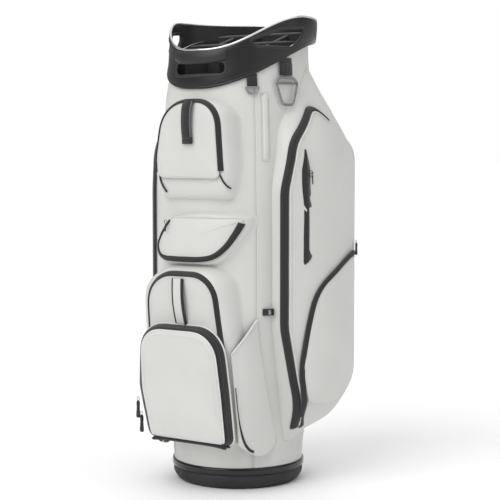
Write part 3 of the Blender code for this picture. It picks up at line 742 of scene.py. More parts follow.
def make_cuff():
    """Satin moulded cuff with rolled hand holes, a lower bead, and a bright metal tube round the
    rim as a painted highlight of the rim's chamfer.
    """
    count = 288
    angles = [wrapped(360 * k / count) for k in range(count)]
    section = [(0.00, 0.0020), (0.012, 0.0006), (0.04, 0.0), (0.3, 0.0), (0.6, 0.0), (0.85, 0.0),
               (0.965, 0.0), (0.99, 0.0006), (1.0, 0.0018), (1.0, 0.0034), (0.985, 0.0050),
               (0.5, 0.0050), (0.02, 0.0050), (0.0, 0.0034)]
    bm = bmesh.new()
    loops = []
    for share, inset in section:
        loop = []
        for a in angles:
            z = cuff_z(a) + (rim_z(a) - cuff_z(a)) * share
            loop.append(around(a, cuff_radius(a, z) - inset, z))
        loops.append(loop)
    loft(bm, loops, ring=True)
    cuff = put("cuff_moulding", bm, [CUFF], "bag", ["top_cuff"])
    for turn, outline in hole_outlines():
        tool = bmesh.new()
        loft(tool, [[Matrix.Rotation(turn, 3, "Z") @ Vector((u, -w, v)) for u, v in outline]
                    for w in (0.09, 0.175)], caps=(True, True))
        bmesh.ops.recalc_face_normals(tool, faces=tool.faces)
        mesh = bpy.data.meshes.new("hole_tool")
        tool.to_mesh(mesh)
        tool.free()
        cutter = bpy.data.objects.new("hole_tool", mesh)
        bpy.context.scene.collection.objects.link(cutter)
        change = cuff.modifiers.new("hole", "BOOLEAN")
        change.operation = "DIFFERENCE"
        change.object = cutter
        bpy.context.view_layer.objects.active = cuff
        bpy.ops.object.modifier_apply(modifier=change.name)
        bpy.data.objects.remove(cutter)
    cuff.data.set_sharp_from_angle(angle=radians(48))

    bm = bmesh.new()
    for turn, outline in hole_outlines():
        path = [facing(turn, u, v, 0.0026) for u, v in even(outline, 0.003)]
        tube(bm, path, 0.0037, closed=True, sides=12)
    put("hole_lips", bm, [RUBBER], "bag")

    # painted highlight: a bright metal tube round the whole rim, standing in for the highlight on
    # the moulded rim's chamfer
    bm = bmesh.new()
    path = [around(a, cuff_radius(a, rim_z(a)) - 0.0026, rim_z(a) + 0.0013) for a in angles]
    tube(bm, path, 0.0021, closed=True, sides=10)
    put("painted_highlight_rim", bm, [RIM_HIGHLIGHT_METAL], "bag", ["rim_trim"])

    bm = bmesh.new()
    path = [around(a, cuff_radius(a, cuff_z(a)) - 0.0022, cuff_z(a) + 0.0012) for a in angles]
    tube(bm, path, 0.0026, closed=True, sides=8)
    path = [around(a, cuff_radius(a, cuff_z(a) + 0.007) - 0.0002, cuff_z(a) + 0.0070)
            for a in angles]
    tube(bm, path, 0.0008, closed=True, sides=6)
    put("cuff_bead", bm, [CUFF], "bag")


def make_front_grip():
    """Soft rubber grip on the bridge over the front hand hole, with rows of dimples."""
    bm = bmesh.new()
    loops = []
    steps, sides = 110, 36
    for k in range(steps + 1):
        share = k / steps
        a = radians(-26 + 52 * share)
        ends = sin(pi * min(1.0, max(0.0, share))) ** 0.22
        top, low = rim_z(a) - 0.0016, rim_z(a) - 0.0255
        middle, high = (top + low) / 2, (top - low) / 2 * (0.55 + 0.45 * ends)
        loop = []
        for i in range(sides):
            turn = 2 * pi * i / sides
            z = middle + high * sin(turn)
            out = 0.0012 + 0.0060 * ends * cos(turn)
            if cos(turn) > 0.35 and 0.2 < share < 0.8:
                out -= 0.0006 * max(0.0, cos(k * pi / 2.5) * cos(i * pi / 2.0))
            loop.append(around(a, cuff_radius(a, z) + out, z))
        loops.append(loop)
    loft(bm, loops, caps=(True, True))
    put("front_grip_rubber", bm, [RUBBER], "bag", ["front_grip"])


# ---------------------------------------------------------------- inside
def make_inside():
    """Divider sheets keep their solids; each gets a bound, rounded top edge."""
    for name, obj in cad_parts.items():
        if name.startswith("divider_"):
            obj.material_slots[0].material = LINING
        if name.startswith("stay_"):
            obj.material_slots[0].material = GLASS_ROD
    bm = bmesh.new()
    for name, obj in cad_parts.items():
        if not name.startswith("divider_"):
            continue
        points = [obj.matrix_world @ v.co for v in obj.data.vertices]
        wall = name.startswith("divider_wall")
        axis = 0 if wall else 1
        top = max(p.z for p in points)
        high = [p for p in points if p.z > top - 0.05]
        near = min(high, key=lambda p: p[axis])
        far = max(high, key=lambda p: p[axis])
        middle = [sum(p[i] for p in high) / len(high) for i in (0, 1)]
        ends = []
        for p in (near, far):
            level = max(q.z for q in high if abs(q[axis] - p[axis]) < 0.004)
            here = Vector((middle[0], middle[1], level - 0.0004))
            here[axis] = p[axis]
            ends.append(here)
        path = [ends[0].lerp(ends[1], k / 10) for k in range(11)]
        tube(bm, path, 0.0029, sides=10, taper=True)
    put("divider_bindings", bm, [DIVIDER_TOP], "bag")


# ---------------------------------------------------------------- rangefinder pocket
def finder_place(u, v, w):
    """The rangefinder panel: w is measured out from the pocket's face."""
    return Vector((u, -FINDER_FACE - w, FINDER_Z + v))


def finder_behind(u, v):
    return shell_front(u, FINDER_Z + v) + 0.0004 - FINDER_FACE


def make_finder():
    """Upper front pocket: rounded sides, a padded panel and its arched zip."""
    lid = even(rounded([(-0.068, 0.0, 0.014), (0.077, 0.0, 0.008), (0.073, 0.050, 0.080),
                        (0.066, 0.1435, 0.046), (-0.053, 0.1435, 0.062), (-0.0705, 0.040, 0.060)]))
    foot = []
    for u, v in lid:
        low = smooth((0.03 - v) / 0.03)
        foot.append((u * (1 + 0.019 / 0.076) - 0.10 * u * low, v * 1.035 + 0.002 - 0.040 * low))
    bm = bmesh.new()
    pocket_skin(bm, finder_place, lid, foot, finder_behind, -0.0012, seed=1.3)
    put("rangefinder_sides", bm, [LEATHER, LINING], "bag", ["rangefinder_pocket"])

    bm = bmesh.new()
    lid_skin(bm, finder_place, offset(lid, -0.001), (0.0, 0.066), 0.0006, LID - 0.001, 0.0062,
             seed=2.1)
    put("rangefinder_panel", bm, [LEATHER, LINING], "rangefinder_cover", ["rangefinder_lid"])

    def above(u, v):
        return v > 0.012

    bm = bmesh.new()
    band(bm, finder_place, lid, [(-0.0018, 0.0062), (-0.0004, 0.0068), (0.0012, 0.0060),
                                 (0.0022, 0.0042), (0.0028, 0.0034), (0.0036, 0.0026),
                                 (0.0050, -0.0008), (0.0056, -0.0040), (0.0044, -0.0044),
                                 (0.0015, -0.0004), (-0.0014, 0.0046)], keep=above)
    put("rangefinder_zip", bm, [TAPE], "rangefinder_cover")

    bm = bmesh.new()
    sewn(bm, finder_place, lid, -0.0066, 0.0066, keep=above)
    path = [finder_place(-0.066 + 0.132 * k / 40, 0.0045, LID + 0.0006) for k in range(41)]
    stitches(bm, path, [Vector((0, -1, 0))] * 41)
    put("rangefinder_stitching", bm, [THREAD], "rangefinder_cover")

    make_finder_tails(lid, foot)
    make_finder_strap()


def make_finder_tails(lid, foot):
    """The zip's ends run on under the pocket's corners as thin bound edges."""
    bm = bmesh.new()
    for corner, slip, last in (((0.0775, 0.0060), -0.5, 0.70), ((-0.0665, 0.0070), 8.0, 0.45)):
        first = min(range(len(lid)), key=lambda k: hypot(lid[k][0] - corner[0],
                                                         lid[k][1] - corner[1]))
        step = 1 if lid[(first + 3) % len(lid)][1] < lid[first][1] else -1
        path = []
        for k in range(25):
            turn = pi / 2 * (1 - last * k / 24)
            out, up = cos(turn), sin(turn) ** 0.92
            along = first + step * slip * out
            near, share = int(along // 1), along % 1
            ends = []
            for outline in (lid, foot):
                p, q = outline[near % len(lid)], outline[(near + 1) % len(lid)]
                ends.append((mix(p[0], q[0], share), mix(p[1], q[1], share)))
            (u0, v0), (u1, v1) = ends
            u, v = mix(u0, u1, out), mix(v0, v1, out)
            path.append(finder_place(u, v - 0.002 * out,
                                     mix(finder_behind(u, v), -0.0012, up) + 0.0016))
        tube(bm, path, 0.0018, sides=8, taper=True)
    put("rangefinder_zip_tails", bm, [TAPE], "bag")


def make_finder_strap():
    """Folded webbing pull hanging from the top of the zip."""
    bm = bmesh.new()
    centre, out = [], []
    for k in range(25):
        t = k / 24
        v = 0.1475 - 0.080 * t
        w = 0.0092 + 0.0040 * smooth(t / 0.2) + 0.0022 * sin(pi * t)
        centre.append(finder_place(0.0100 - 0.002 * sin(pi * t), v, w))
        out.append(Vector((0.06, -1, 0)).normalized())
    strap(bm, centre, Vector((1, 0.06, 0)).normalized(), out, 0.0112, 0.0018)
    fold = [p + Vector((0.0018, -0.0019, 0.0004)) for p in centre[1:-2]]
    strap(bm, fold, Vector((1, 0.10, 0)).normalized(), out, 0.0078, 0.0016)
    trim = [p + Vector((0.0104, -0.0016, 0.0002)) for p in centre[1:-1]]
    strap(bm, trim, Vector((1, 0.25, 0)).normalized(), out, 0.0019, 0.0024, mat=1)
    end = finder_place(0.0108, 0.0700, 0.0156)
    strap(bm, [end + Vector((0, 0, 0.008 - 0.013 * k / 3)) for k in range(4)],
          Vector((1, 0, 0)), Vector((0, -1, 0)), 0.0118, 0.0026, mat=0)
    for row in (-0.003, 0.003):
        path = [end + Vector((-0.009 + 0.018 * k / 8, -0.0016, 0.002 + row)) for k in range(9)]
        stitches(bm, path, [Vector((0, -1, 0))] * 9, mat=1)
    put("rangefinder_strap", bm, [WEBBING, GREY_TRIM], "rangefinder_cover", ["rangefinder_pull"])


# ---------------------------------------------------------------- valuables pocket
def values_place(u, v, w):
    """w is measured out from the shell, so the pocket wraps round it."""
    z = VALUABLES_Z + v
    y = -(shell_front(u * 0.985, z) + w)
    return Vector((u, y, z))


def make_valuables():
    """Sloped pocket with a flap sewn along its top."""
    flap = even(rounded([(-0.040, 0.0, 0.014), (-0.080, -0.052, 0.018), (-0.066, -0.083, 0.018),
                         (0.062, -0.083, 0.036), (0.098, -0.030, 0.016), (0.110, 0.0, 0.004)]))
    foot = []
    for u, v in flap:
        rise = 0.010 * max(0.0, 1 - ((u - 0.040) / 0.085) ** 2) * smooth((v + 0.02) / 0.02)
        foot.append((0.012 + (u - 0.012) * 1.085, v * 1.06 + rise))
    bm = bmesh.new()
    pocket_skin(bm, values_place, flap, foot, lambda u, v: 0.0010, 0.0130, inner=-0.0070,
                seed=4.2, flange=0.003)
    put("valuables_sides", bm, [LEATHER, LINING], "bag", ["valuables_pocket"])

    bm = bmesh.new()
    lid_skin(bm, values_place, offset(flap, -0.0010), (0.012, -0.038), 0.0142, 0.0172, 0.0036,
             seed=5.5)
    put("valuables_panel", bm, [LEATHER, LINING], "valuables_cover", ["valuables_flap"])

    # the zip starts thin down the slanted edge and widens round the foot
    course = spline([(-0.042, -0.006), (-0.055, -0.021), (-0.067, -0.037), (-0.0745, -0.054),
                     (-0.068, -0.070), (-0.052, -0.0770), (-0.030, -0.078), (0.000, -0.078),
                     (0.031, -0.077), (0.059, -0.071), (0.081, -0.053), (0.096, -0.028),
                     (0.104, -0.009)], 0.003)
    bm = bmesh.new()
    ribbon(bm, values_place, course, zip_section(0.0105, 0.0186),
           width=lambda t: mix(0.42, 1.0, smooth((t - 0.18) / 0.22)))
    put("valuables_zip", bm, [TAPE], "valuables_cover")

    bm = bmesh.new()
    seam(bm, values_place, beside(course, -0.0095)[12:], 0.0200)
    put("valuables_stitching", bm, [THREAD], "valuables_cover")
    bm = bmesh.new()
    arch = spline([(-0.0375, 0.001), (0.010, 0.0085), (0.063, 0.008), (0.104, 0.002)])
    for drop in (0.0, 0.0032):
        seam(bm, values_place, [(u, v - drop) for u, v in arch], 0.0118 - drop)
    put("valuables_top_stitching", bm, [THREAD], "bag")


# ---------------------------------------------------------------- ball and front pockets
def low_place(u, v, w):
    """The tilted lower panels: w is measured out from the arch panel."""
    return Vector((u, LOW_Y - v * sin(LOW_TILT) - w * cos(LOW_TILT),
                   LOW_Z + v * cos(LOW_TILT) - w * sin(LOW_TILT)))


def low_behind(u, v):
    """Where the shell lies behind a point of the tilted panels."""
    w = 0.0
    for _ in range(4):
        z = LOW_Z + v * cos(LOW_TILT) - w * sin(LOW_TILT)
        w = (LOW_Y - v * sin(LOW_TILT) + shell_front(u, z) + 0.0008) / cos(LOW_TILT)
    return min(w, -0.0014)


def make_ball_pocket():
    """Tall arched pocket; its panel carries the lower front pocket."""
    lid = even(rounded([(-0.082, 0.0, 0.012), (0.079, 0.0, 0.012), (0.080, 0.180, 0.060),
                        (0.071, 0.3185, 0.046), (-0.078, 0.3185, 0.062), (-0.085, 0.180, 0.050)]))
    foot = []
    for u, v in lid:
        foot.append((u * (1 + 0.0240 / 0.085) - 0.007 * smooth((-0.06 - u) / 0.02),
                     v * 1.026 + 0.003 - 0.016 * smooth((0.05 - v) / 0.05)))
    bm = bmesh.new()
    pocket_skin(bm, low_place, lid, foot, low_behind, -0.0012, seed=7.7, steps=12)
    put("ball_pocket_sides", bm, [LEATHER, LINING], "bag", ["ball_pocket"])

    bm = bmesh.new()
    lid_skin(bm, low_place, offset(lid, -0.001), (0.0, 0.160), 0.0006, 0.0046, 0.0012, seed=8.8)
    put("ball_panel", bm, [LEATHER, LINING], "ball_cover", ["ball_lid"])

    def above(u, v):
        return v > 0.014

    bm = bmesh.new()
    band(bm, low_place, lid, [(-0.0022, 0.0054), (-0.0008, 0.0062), (0.0012, 0.0054),
                              (0.0020, 0.0040), (0.0026, 0.0030), (0.0036, 0.0022),
                              (0.0052, -0.0016), (0.0060, -0.0056), (0.0048, -0.0060),
                              (0.0015, -0.0004), (-0.0018, 0.0040)], keep=above)
    put("ball_zip", bm, [TAPE], "ball_cover")

    bm = bmesh.new()
    sewn(bm, low_place, lid, -0.0066, 0.0062, keep=lambda u, v: v > 0.235)
    put("ball_stitching", bm, [THREAD], "ball_cover")

    make_grab_handle()


def make_grab_handle():
    """Padded grab handle with dark bound edges."""
    bm = bmesh.new()
    centre = []
    for k in range(25):
        t = k / 24
        v = 0.224 + 0.0885 * t
        centre.append(low_place(-0.0035 + 0.0015 * sin(pi * t), v, 0.0072 + 0.0070 * sin(pi * t)))
    out = (low_place(0, 0, 1) - low_place(0, 0, 0)).normalized()
    strap(bm, centre, Vector((1, 0, 0)), out, 0.0105, 0.0030)
    for shift, radius in ((-0.0122, 0.0012), (0.0096, 0.0022), (0.0116, 0.0018)):
        edge = [p + Vector((shift, 0, 0)) for p in centre]
        tube(bm, edge, radius, sides=8, mat=1)
    put("front_grab_handle", bm, [LEATHER, TAPE], "ball_cover", ["front_handle"])


def make_front_pocket():
    """Low padded pocket on a dark gusset, piped twice round its panel."""
    panel = even(rounded([(-0.082, 0.004, 0.008), (0.090, 0.004, 0.006), (0.089, 0.100, 0.080),
                          (0.084, 0.218, 0.050), (-0.086, 0.218, 0.050), (-0.094, 0.100, 0.070)]))
    out, deep = LID + GAP, 0.020
    foot_w = out + 0.0002

    def splayed(far, share):
        """The gusset's outline: it spreads towards its foot, most of all on the left."""
        moved = offset(panel, far)
        slack = sin(pi * max(0.0, min(1.0, share)) ** 0.8)
        return [(u - smooth((0.01 - u) / 0.09)
                 * (0.0060 * share + slack * mix(0.0035, 0.0088, smooth((0.19 - v) / 0.10))), v)
                for u, v in moved]

    bm = bmesh.new()
    loops, mats = [], []
    for far, share, mat in ((-0.0040, 0.01, 1), (-0.0040, 0.95, 1), (-0.0010, 1.0, 0),
                            (0.0014, 0.96, 0), (0.0034, 0.78, 0), (0.0042, 0.64, 0),
                            (0.0034, 0.60, 0), (0.0042, 0.56, 0), (0.0050, 0.35, 0),
                            (0.0056, 0.10, 0), (0.0054, 0.01, 0)):
        w = foot_w + deep * share
        loops.append([low_place(u, v, w + rumple((u, v, 3), 0.03, 0.0007) * (0.2 < share < 0.9))
                      for u, v in splayed(far, 1 - share)])
        mats.append(mat)
    loft(bm, loops, ring=True, mats=mats)
    put("front_pocket_sides", bm, [TAPE, LINING], "ball_cover", ["front_pocket_gusset"])

    bm = bmesh.new()
    path = [low_place(u, v, out + 0.0010) for u, v in splayed(0.0066, 1.0)]
    tube(bm, path, 0.0017, closed=True, sides=8)
    put("front_pocket_foot_piping", bm, [PIPING], "ball_cover")

    bm = bmesh.new()
    lid_skin(bm, low_place, offset(panel, -0.0016), (0.0, 0.106), out + deep + 0.0006,
             out + deep + LID * 0.7, 0.0078, seed=11.0)
    put("front_panel", bm, [LEATHER, LINING], "front_cover", ["front_pocket_lid"])

    bm = bmesh.new()
    piping(bm, low_place, panel, -0.0010, out + deep + 0.0030, 0.0016,
           keep=lambda u, v: v > 0.006)
    piping(bm, low_place, panel, -0.0072, out + deep + 0.0058, 0.0009,
           keep=lambda u, v: v > 0.008)
    put("front_panel_piping", bm, [PIPING], "front_cover")

    bm = bmesh.new()
    sewn(bm, low_place, panel, -0.0098, out + deep + 0.0078, keep=lambda u, v: v > 0.01)
    put("front_panel_stitching", bm, [THREAD], "front_cover")

    make_front_hem(out, deep)
    make_front_pulls()


def make_front_hem(out, deep):
    """Dark bound lower edge, drawn down to a point at each corner and sagging on the left."""
    bm = bmesh.new()
    path = [low_place(-0.086 + 0.175 * k / 40, 0.0012 - 0.0040 * (abs(k - 20) / 20) ** 5,
                      out + deep * 0.92) for k in range(41)]
    tube(bm, path, 0.0036, sides=8, taper=True)
    sag = [low_place(-0.094 + 0.030 * k / 12, 0.014 - 0.019 * sin(pi / 2 * k / 12) ** 0.7,
                     out + deep * (0.30 + 0.50 * k / 12)) for k in range(13)]
    tube(bm, sag, 0.0034, sides=8, taper=True)
    path = [p + Vector((0, 0.012, 0.0006)) for p in path]
    tube(bm, path, 0.0030, sides=8, taper=True)
    put("front_pocket_hem", bm, [TAPE], "ball_cover")


def make_front_pulls():
    """Two rubber pulls that hang beside the gusset."""
    for letter, name in (("a", "front_zip_pull_1"), ("b", "front_zip_pull_2")):
        bm = bmesh.new()
        lo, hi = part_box(name)
        middle = (lo + hi) / 2 - Vector((0.0035, 0, 0))
        make_pull(bm, middle, hi.z - lo.z, facing_x=False, size=1.18)
        put(f"{name}_rubber", bm, [RUBBER, METAL], f"front_pull_{letter}", [name])


def make_pull(bm, centre, high, facing_x=True, size=1.0):
    """A moulded rubber zip pull on a small metal link."""
    half = high / 2
    loops = []
    for share, wide, thick in ((1.0, 0.30, 0.5), (0.92, 0.62, 0.8), (0.75, 0.80, 1.0),
                               (0.2, 0.72, 0.86), (-0.3, 0.86, 0.92), (-0.75, 1.0, 1.0),
                               (-0.94, 0.85, 0.8), (-1.0, 0.55, 0.5)):
        z = centre.z - half * 0.16 + half * 0.80 * share
        loop = []
        for i in range(12):
            turn = 2 * pi * i / 12
            a, b = 0.0021 * size * thick * cos(turn), 0.0042 * size * wide * sin(turn)
            loop.append(Vector((centre.x + (a if facing_x else b),
                                centre.y + (b if facing_x else a), z)))
        loops.append(loop)
    loft(bm, loops, caps=(True, True))
    top = centre.z + half * 0.60
    path = []
    for i in range(14):
        turn = 2 * pi * i / 14
        y = 0.0026 * sin(turn)
        path.append(Vector((centre.x + (0 if facing_x else y), centre.y + (y if facing_x else 0),
                            top + half * 0.20 + half * 0.19 * cos(turn))))
    tube(bm, path, 0.0006, closed=True, sides=6, mat=1)


# ---------------------------------------------------------------- side pockets
def bow(u, v):
    """How far the door bellies out: less at its front edge, foot and shoulder."""
    belly = 0.009 * (1 - (min(0.0, u + 0.065) / 0.065) ** 2)
    return belly - 3.7 * max(0.0, 0.070 - v) ** 2 - 3.0 * max(0.0, v - 0.490) ** 2


def door_outline():
    """Outline of the door: u is 0 at its hinge and negative towards the front."""
    return rounded([(0.003, 0.075, 0.045), (0.003, 0.520, 0.045), (-0.100, 0.604, 0.022),
                    (-0.175, 0.530, 0.070), (-0.1935, 0.440, 0.080), (-0.1935, 0.180, 0.080),
                    (-0.174, 0.070, 0.080), (-0.150, -0.020, 0.012), (-0.128, -0.020, 0.020),
                    (-0.060, 0.004, 0.040)][::-1])


def lower_outline():
    """Outline of the lower pocket on the door."""
    return rounded([(-0.012, 0.080, 0.040), (-0.012, 0.318, 0.010), (-0.126, 0.258, 0.034),
                    (-0.152, 0.190, 0.060), (-0.170, 0.104, 0.030), (-0.150, 0.036, 0.020),
                    (-0.072, 0.030, 0.040)][::-1])


def door_face(side):
    """The door's own frame: u runs forwards as a negative number, w outwards from its bow."""
    def place(u, v, w):
        return Vector((side * (DOOR_LIFT + bow(u, v) + w), DOOR_Y + u, SIDE_LOW_Z + v))

    return place


def make_side(side, name):
    door = even(door_outline(), 0.005)
    place = door_face(side)
    make_side_walls(side, name, door)
    make_side_door(side, name, door, place)
    make_side_lower(side, name, place)


def make_side_walls(side, name, door):
    """The pocket's fixed frame: from the shell it rises and rounds over to the door's edge."""
    def wall_place(u, v, w):
        return Vector((side * w, DOOR_Y + u, SIDE_LOW_Z + v))

    foot = []
    for u, v in door:
        rise = 0.038 + 0.062 * smooth((u + 0.120) / 0.060)
        grow = rise * smooth((v - 0.44) / 0.12) - 0.024 * smooth((0.10 - v) / 0.10)
        foot.append((u * 1.01 + 0.001 * (u > -0.05), v + grow))

    bm = bmesh.new()
    loops, mats = [], []

    def edge(u, v):
        return DOOR_LIFT + bow(u, v) - 0.0012

    steps = 12
    for k in range(-1, steps + 1):
        t = max(0, k) / steps
        loop = []
        for (u0, v0), (u1, v1) in zip(door, foot):
            out = 1 - t
            full = mix(1.3, 0.8, smooth((v0 - 0.30) / 0.15))
            u, v = mix(u0, u1, out), mix(v0, v1, out ** full)
            base = shell_side(DOOR_Y + u1, SIDE_LOW_Z + v1) + 0.0004
            w = mix(base, edge(u0, v0), 1 - (1 - t) ** 1.25)
            w += rumple((u, v, w * 3 + side), 0.05, 0.0012) * sin(pi * t)
            if k < 0:
                w -= 0.003
            loop.append(wall_place(u, v, w))
        loops.append(loop)
        mats.append(0)
    for inset, drop in ((-0.004, 0.0), (-0.0075, 0.002)):
        loops.append([wall_place(u, v, edge(u, v) - drop) for u, v in offset(door, inset)])
        mats.append(1)
    loops.append([wall_place(u, v, shell_side(DOOR_Y + u, SIDE_LOW_Z + v) + 0.0006)
                  for u, v in offset(door, -0.0075)])
    mats.append(1)
    loft(bm, loops, mats=mats)
    put(f"{name}_side_walls", bm, [LEATHER, LINING], "bag", [f"{name}_side_pocket"])


def make_side_door(side, name, door, place):
    """The padded door with its long front zip, its slit pocket and the slit's slider."""
    bm = bmesh.new()
    lid_skin(bm, place, offset(door, -0.001), (-0.096, 0.300), 0.0002, 0.0052, 0.0044,
             seed=13.0 + side, rings=18)
    put(f"{name}_door_panel", bm, [LEATHER, LINING], f"{name}_door", [f"{name}_side_door"])

    def front_edge(u, v):
        return u < -0.096 + 0.036 * (v > 0.45) - 0.050 * (v < 0.1)

    bm = bmesh.new()
    band(bm, place, door, [(-0.0058, 0.0068), (-0.0050, 0.0076), (-0.0022, 0.0074),
                           (-0.0014, 0.0080), (-0.0002, 0.0072), (0.0003, 0.0060),
                           (0.0010, 0.0064), (0.0028, 0.0048), (0.0036, 0.0026),
                           (0.0040, -0.0012), (0.0030, -0.0022), (0.0006, -0.0004),
                           (-0.0046, 0.0050)], keep=front_edge)
    put(f"{name}_long_zip", bm, [TAPE], f"{name}_door")

    bm = bmesh.new()
    piping(bm, place, door, -0.0074, 0.0076, 0.0012, keep=front_edge)
    put(f"{name}_long_zip_piping", bm, [PIPING], f"{name}_door")
    bm = bmesh.new()
    sewn(bm, place, door, -0.0120, 0.0084, keep=front_edge)
    sewn(bm, place, door, -0.0060, 0.0078, keep=lambda u, v: u > -0.10 and v > 0.40)

    # slit pocket: a straight zip let into the door
    slit = [(-0.1541 + 0.0040 * smooth((k - 10) / 14), 0.517 - 0.212 * k / 40) for k in range(41)]

    def slit_width(k):
        t = k / 40
        return mix(0.0082, 0.0096, t) * min(1.0, 0.10 + t * 5) * min(1.0, 0.7 + (1 - t) * 14)

    skin = 0.0052 + 0.0044 * 0.86
    bm_tape = bmesh.new()
    rows = []
    for share, high in ((-1.0, -0.001), (-0.96, 0.0012), (-0.3, 0.0013), (-0.22, 0.0021),
                        (-0.04, 0.0023), (0.0, 0.0014), (0.04, 0.0023), (0.22, 0.0021),
                        (0.3, 0.0013), (0.96, 0.0012), (1.0, -0.001)):
        rows.append([place(u + share * slit_width(k), v + 0.005 * share * (k > 38),
                           skin + high - 0.0012) for k, (u, v) in enumerate(slit)])
    loft(bm_tape, rows, wrap=False, ring=True)
    put(f"{name}_slit_zip_tape", bm_tape, [TAPE], f"{name}_door")
    for shift in (-0.0100, 0.0100):
        path = [place(u + shift, v, skin + 0.0002) for u, v in slit]
        stitches(bm, path, [Vector((side, 0, 0))] * 41)
    put(f"{name}_door_stitching", bm, [THREAD], f"{name}_door")

    bm = bmesh.new()
    lo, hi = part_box(f"{name}_slit_slider")
    make_slider(bm, (lo + hi) / 2 + Vector((side * 0.0012, 0, 0)), side)
    put(f"{name}_slit_slider_metal", bm, [METAL, WEBBING], f"{name}_slider",
        [f"{name}_slit_slider"])


def make_side_lower(side, name, place):
    """Lower pocket on the door: its zip sweeps down from the back, then runs to the foot."""
    lower = even(lower_outline(), 0.005)
    base = 0.0052 + 0.0052
    bm = bmesh.new()
    lid_skin(bm, place, lower, (-0.090, 0.150), base - 0.0018, base + 0.0034, 0.0072,
             seed=17.0 + side, rings=16)
    put(f"{name}_lower_panel", bm, [LEATHER, LINING], f"{name}_door", [f"{name}_lower_pocket"])

    course = spline([(-0.014, 0.3155), (-0.045, 0.301), (-0.077, 0.284), (-0.115, 0.2595),
                     (-0.136, 0.231), (-0.148, 0.192), (-0.1575, 0.147), (-0.1640, 0.104),
                     (-0.1610, 0.060), (-0.150, 0.018), (-0.136, -0.012)], 0.004)

    def over(u, v):
        return base + 0.0042 - 0.0075 * smooth((0.045 - v) / 0.04)

    def raised(extra):
        return lambda u, v: over(u, v) + extra

    bm = bmesh.new()
    ribbon(bm, place, course, [(0.0064, raised(-0.0012)), (0.0058, raised(0.0014)),
                               (0.0016, raised(0.0016)), (0.0008, raised(0.0022)),
                               (0.0, raised(0.0010)), (-0.0008, raised(0.0018)),
                               (-0.0016, raised(0.0008)), (-0.0052, raised(-0.0010)),
                               (-0.0062, raised(-0.0050)), (0.0050, raised(-0.0050))])
    put(f"{name}_lower_zip", bm, [TAPE], f"{name}_door")
    bm = bmesh.new()
    edge = [p for p in beside(course, -0.0072) if p[1] > 0.03]
    tube(bm, lifted(place, edge, raised(0.0004)), 0.0011, sides=7, taper=True)
    put(f"{name}_lower_piping", bm, [PIPING], f"{name}_door")
    bm = bmesh.new()
    seam(bm, place, [p for p in beside(course, -0.0115) if p[1] > 0.04], raised(0.0016))
    put(f"{name}_lower_stitching", bm, [THREAD], f"{name}_door")

    bm = bmesh.new()
    lo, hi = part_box(f"{name}_lower_pull")
    make_pull(bm, (lo + hi) / 2, hi.z - lo.z)
    put(f"{name}_lower_pull_rubber", bm, [RUBBER, METAL], f"{name}_zip_pull",
        [f"{name}_lower_pull"])


def make_slider(bm, centre, side):
    """A metal zip slider with a short cord pull."""
    loops = []
    for x, grow in ((-0.0022, 0.8), (-0.0008, 1.0), (0.0010, 1.0), (0.0020, 0.72)):
        loop = []
        for i in range(16):
            turn = 2 * pi * i / 16
            y, z = 0.0036 * grow * cos(turn), 0.0072 * grow * sin(turn)
            loop.append(centre + Vector((side * x, y, z + 0.001)))
        loops.append(loop)
    loft(bm, loops, caps=(True, True))
    path = [centre + Vector((side * (0.0022 + 0.0012 * sin(pi * k / 8)), 0, 0.006 - 0.009 * k / 8))
            for k in range(9)]
    tube(bm, path, 0.0009, sides=6)
    cord = [centre + Vector((side * (0.0024 + 0.0004 * k / 10), 0.0006 * sin(k), -0.002
                             - 0.0016 * k)) for k in range(11)]
    tube(bm, cord, 0.0012, sides=7, mat=1)


# ---------------------------------------------------------------- small pieces on the shell
def on_shell(angle, z, out):
    """Point a little way out from the shell's leather."""
    return around(angle, shell_skin(angle, z) + out, z)


def quick_point(side, share, z, out):
    """A point of a flank panel; share runs from the lower pockets' edge back to its seam."""
    front = Vector((0.0990, LOW_Y - (z - LOW_Z) * tan(LOW_TILT) + 0.002))
    line = radians(48 + 20 * max(0.0, (0.331 - z) / 0.241) ** 1.6)
    reach = shell_radius(line, z) + 0.0054
    back = Vector((reach * sin(line), -reach * cos(line)))
    along = (back - front).normalized()
    point = front.lerp(back, share) + Vector((along.y, -along.x)) * (0.004 * sin(pi * share) + out)
    angle = atan2(point.x, -point.y)
    radius = max(point.length, shell_radius(angle, z) + 0.0054 + out)
    return around(angle * side, radius, z)


def quick_low(share):
    """Height of the flank panel's curved lower edge."""
    return 0.0885 + 0.0113 * (1 - share) - 0.026 * max(0.0, sin(pi * share)) ** 0.8


